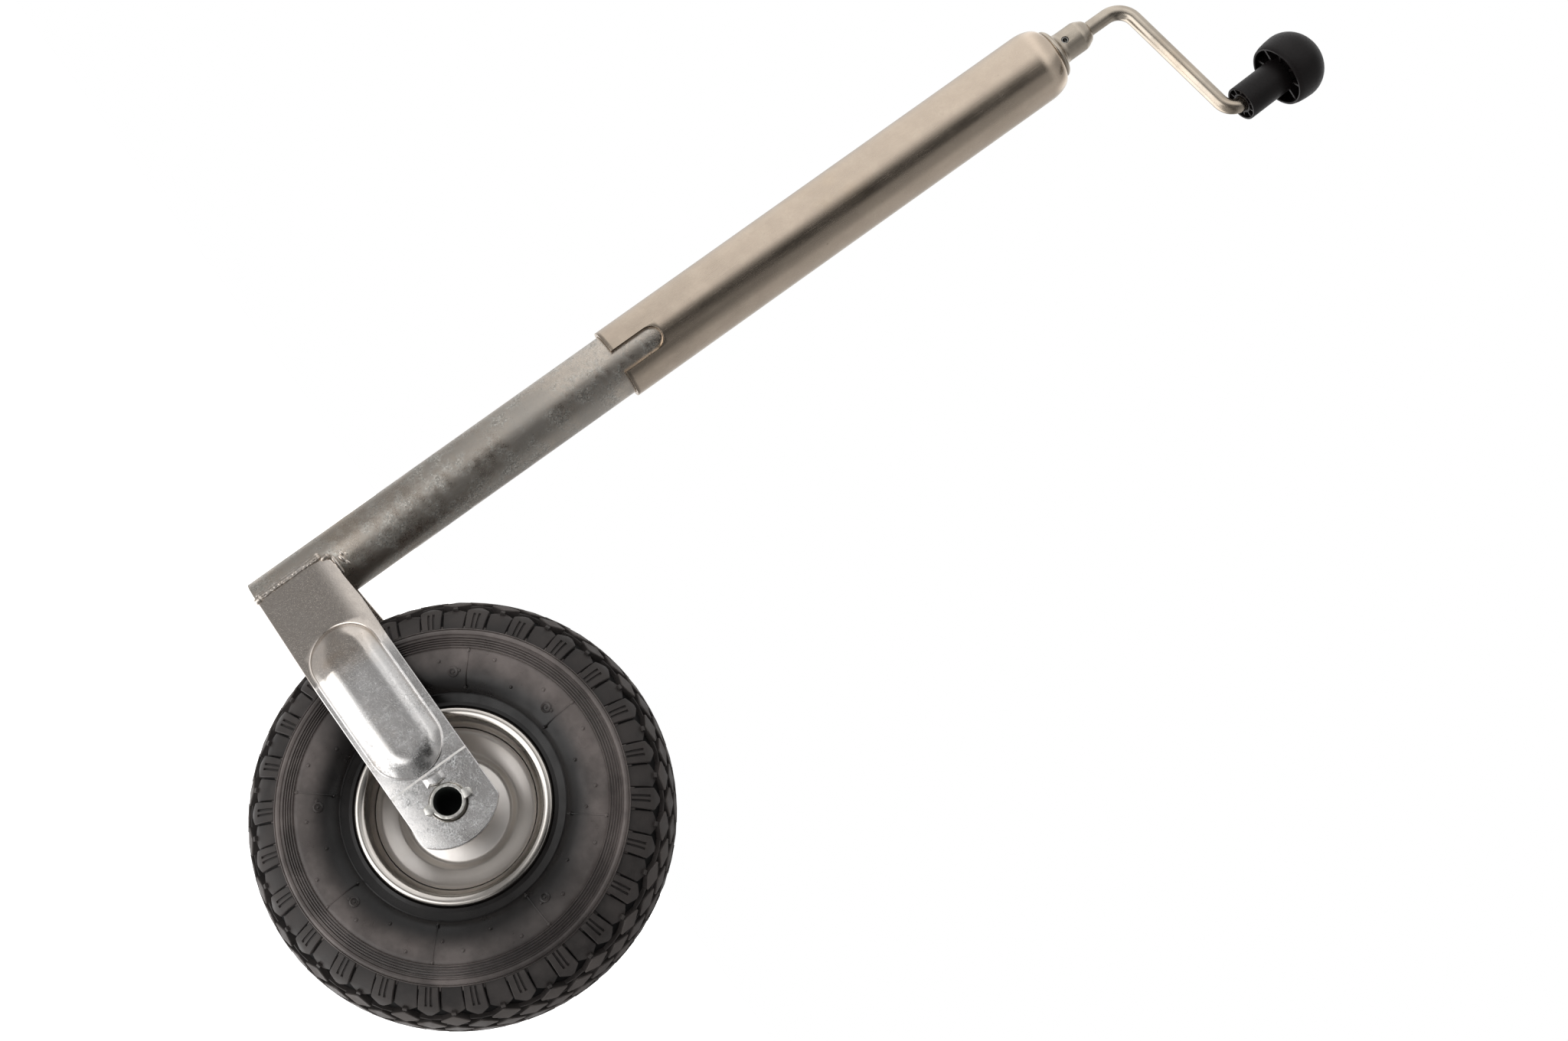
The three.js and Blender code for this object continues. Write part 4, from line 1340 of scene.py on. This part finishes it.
def studio_glow(turn, z):
    """Brightness of the studio round the jack. Turns are degrees from -Y towards +X, heights metres."""
    middle = between(z, (0.15, 15), (0.42, 34))              # a dark flag that leans to the right
    dark = between(abs(turn - middle), (9, 1), (24, 0))
    second = between(abs(turn - 66), (4, 1), (15, 0)) * between(z, (0.22, 1), (0.40, 0))
    low = between(z, (-0.12, 0), (0.02, 1))
    right = between(turn, (40, 0.20), (80, 0.28), (104, 0.46), (150, 0.5)) * (0.35 + 0.65 * low)
    left = between(z, (-0.20, 0.24), (-0.06, 0.42), (0.02, 0.66), (0.12, 0.93))
    if turn < -95:
        level = between(turn, (-150, 0.7), (-95, left))
    elif turn < 18:
        level = between(turn, (-18, left), (18, right))
    else:
        level = between(turn, (160, right), (180, 0.7))
    level *= 1 - 0.88 * dark * between(z, (0.0, 0.25), (0.17, 1))
    level *= 1 - 0.5 * second
    patch = between(abs(turn + 14), (12, 1), (30, 0))
    level *= 1 + 0.4 * patch * between(z, (-0.4, 0), (-0.25, 1), (-0.12, 1), (-0.06, 0))
    top = between(z, (1.2, 1.25), (2.2, 0.75)) * between(abs(turn - 85), (30, 0.4), (75, 1))
    level += (top - level) * between(z, (0.9, 0), (1.5, 1))
    shade_left = between(abs(turn + 76), (38, 1), (48, 0))
    shade_right = 1.1 * between(abs(turn - 80), (56, 1), (70, 0))
    bottom = 2.0 - 1.5 * max(shade_left, shade_right) * between(z, (-2.5, 0), (-2.2, 1))
    return level + (bottom - level) * between(z, (-1.35, 1), (-0.62, 0))


def studio_shell():
    """A large ball of soft light round the jack. The camera doesn't see it."""
    columns, rows, radius = 180, 120, 2.6
    points, levels = [], []
    for k in range(rows + 1):
        rise = radians(-89.9 + 179.8 * k / rows)
        for i in range(columns):
            turn_degrees = -180 + 360 * i / columns
            turn = radians(turn_degrees)
            z = radius * sin(rise)
            points.append((radius * cos(rise) * sin(turn), -radius * cos(rise) * cos(turn), z))
            levels.append(studio_glow(turn_degrees, z))
    shell = staged("studio_shell", points, quads(rows + 1, columns), glow_finish())
    shell.data.attributes.new("glow", "FLOAT", "POINT").data.foreach_set("value", levels)
    shell.visible_camera = False


TRAVEL = next(-j["range_m"][0] for j in frame["joints"] if j["name"] == "extension")
FLOOR_Z = cad_bounds[0][2] - TRAVEL - 0.002
FLOOR_R = 14
corners = [(x, y, FLOOR_Z) for x, y in circle(FLOOR_R, 64)]
floor = staged("floor", corners, [list(range(64))], floor_finish())
floor.visible_glossy = False
studio_shell()

world = bpy.data.worlds.new("studio")
bpy.context.scene.world = world
world.use_nodes = True
background = world.node_tree.nodes["Background"].inputs
background["Color"].default_value = (1, 1, 1, 1)
background["Strength"].default_value = 1.0


LAMP_PLACE, LAMP_AIM = Vector((-1.6, -1.4, 1.3)), Vector((0.05, 0, -0.15))
lamp_data = bpy.data.lights.new("key", "AREA")
lamp_data.size, lamp_data.energy = 1.2, 12
lamp = linked(bpy.data.objects.new("key", lamp_data))
lamp.location = LAMP_PLACE
lamp.rotation_euler = (LAMP_AIM - LAMP_PLACE).to_track_quat("-Z", "Y").to_euler()
lamp.visible_glossy = False

AZIMUTH, ELEVATION, ROLL = radians(13.85), radians(-6.32), radians(54.02)
DISTANCE, TARGET = 1.5449, Vector((0.14719, 0, -0.1588))
LENS = 56.9                      # millimetres on a 36 mm sensor


def camera():
    data = bpy.data.cameras.new("camera")
    data.lens, data.sensor_width, data.sensor_fit = LENS, 36, "HORIZONTAL"
    data.clip_start, data.clip_end = 0.01, 100
    obj = linked(bpy.data.objects.new("camera", data))
    turn = Matrix.Identity(4)
    for angle, axis in ((AZIMUTH, "Z"), (pi / 2 - ELEVATION, "X"), (ROLL, "Z")):
        turn @= Matrix.Rotation(angle, 4, axis)
    obj.matrix_world = Matrix.Translation(TARGET) @ turn @ Matrix.Translation((0, 0, DISTANCE))
    bpy.context.scene.camera = obj


camera()
bpy.context.scene.view_settings.view_transform = "Standard"
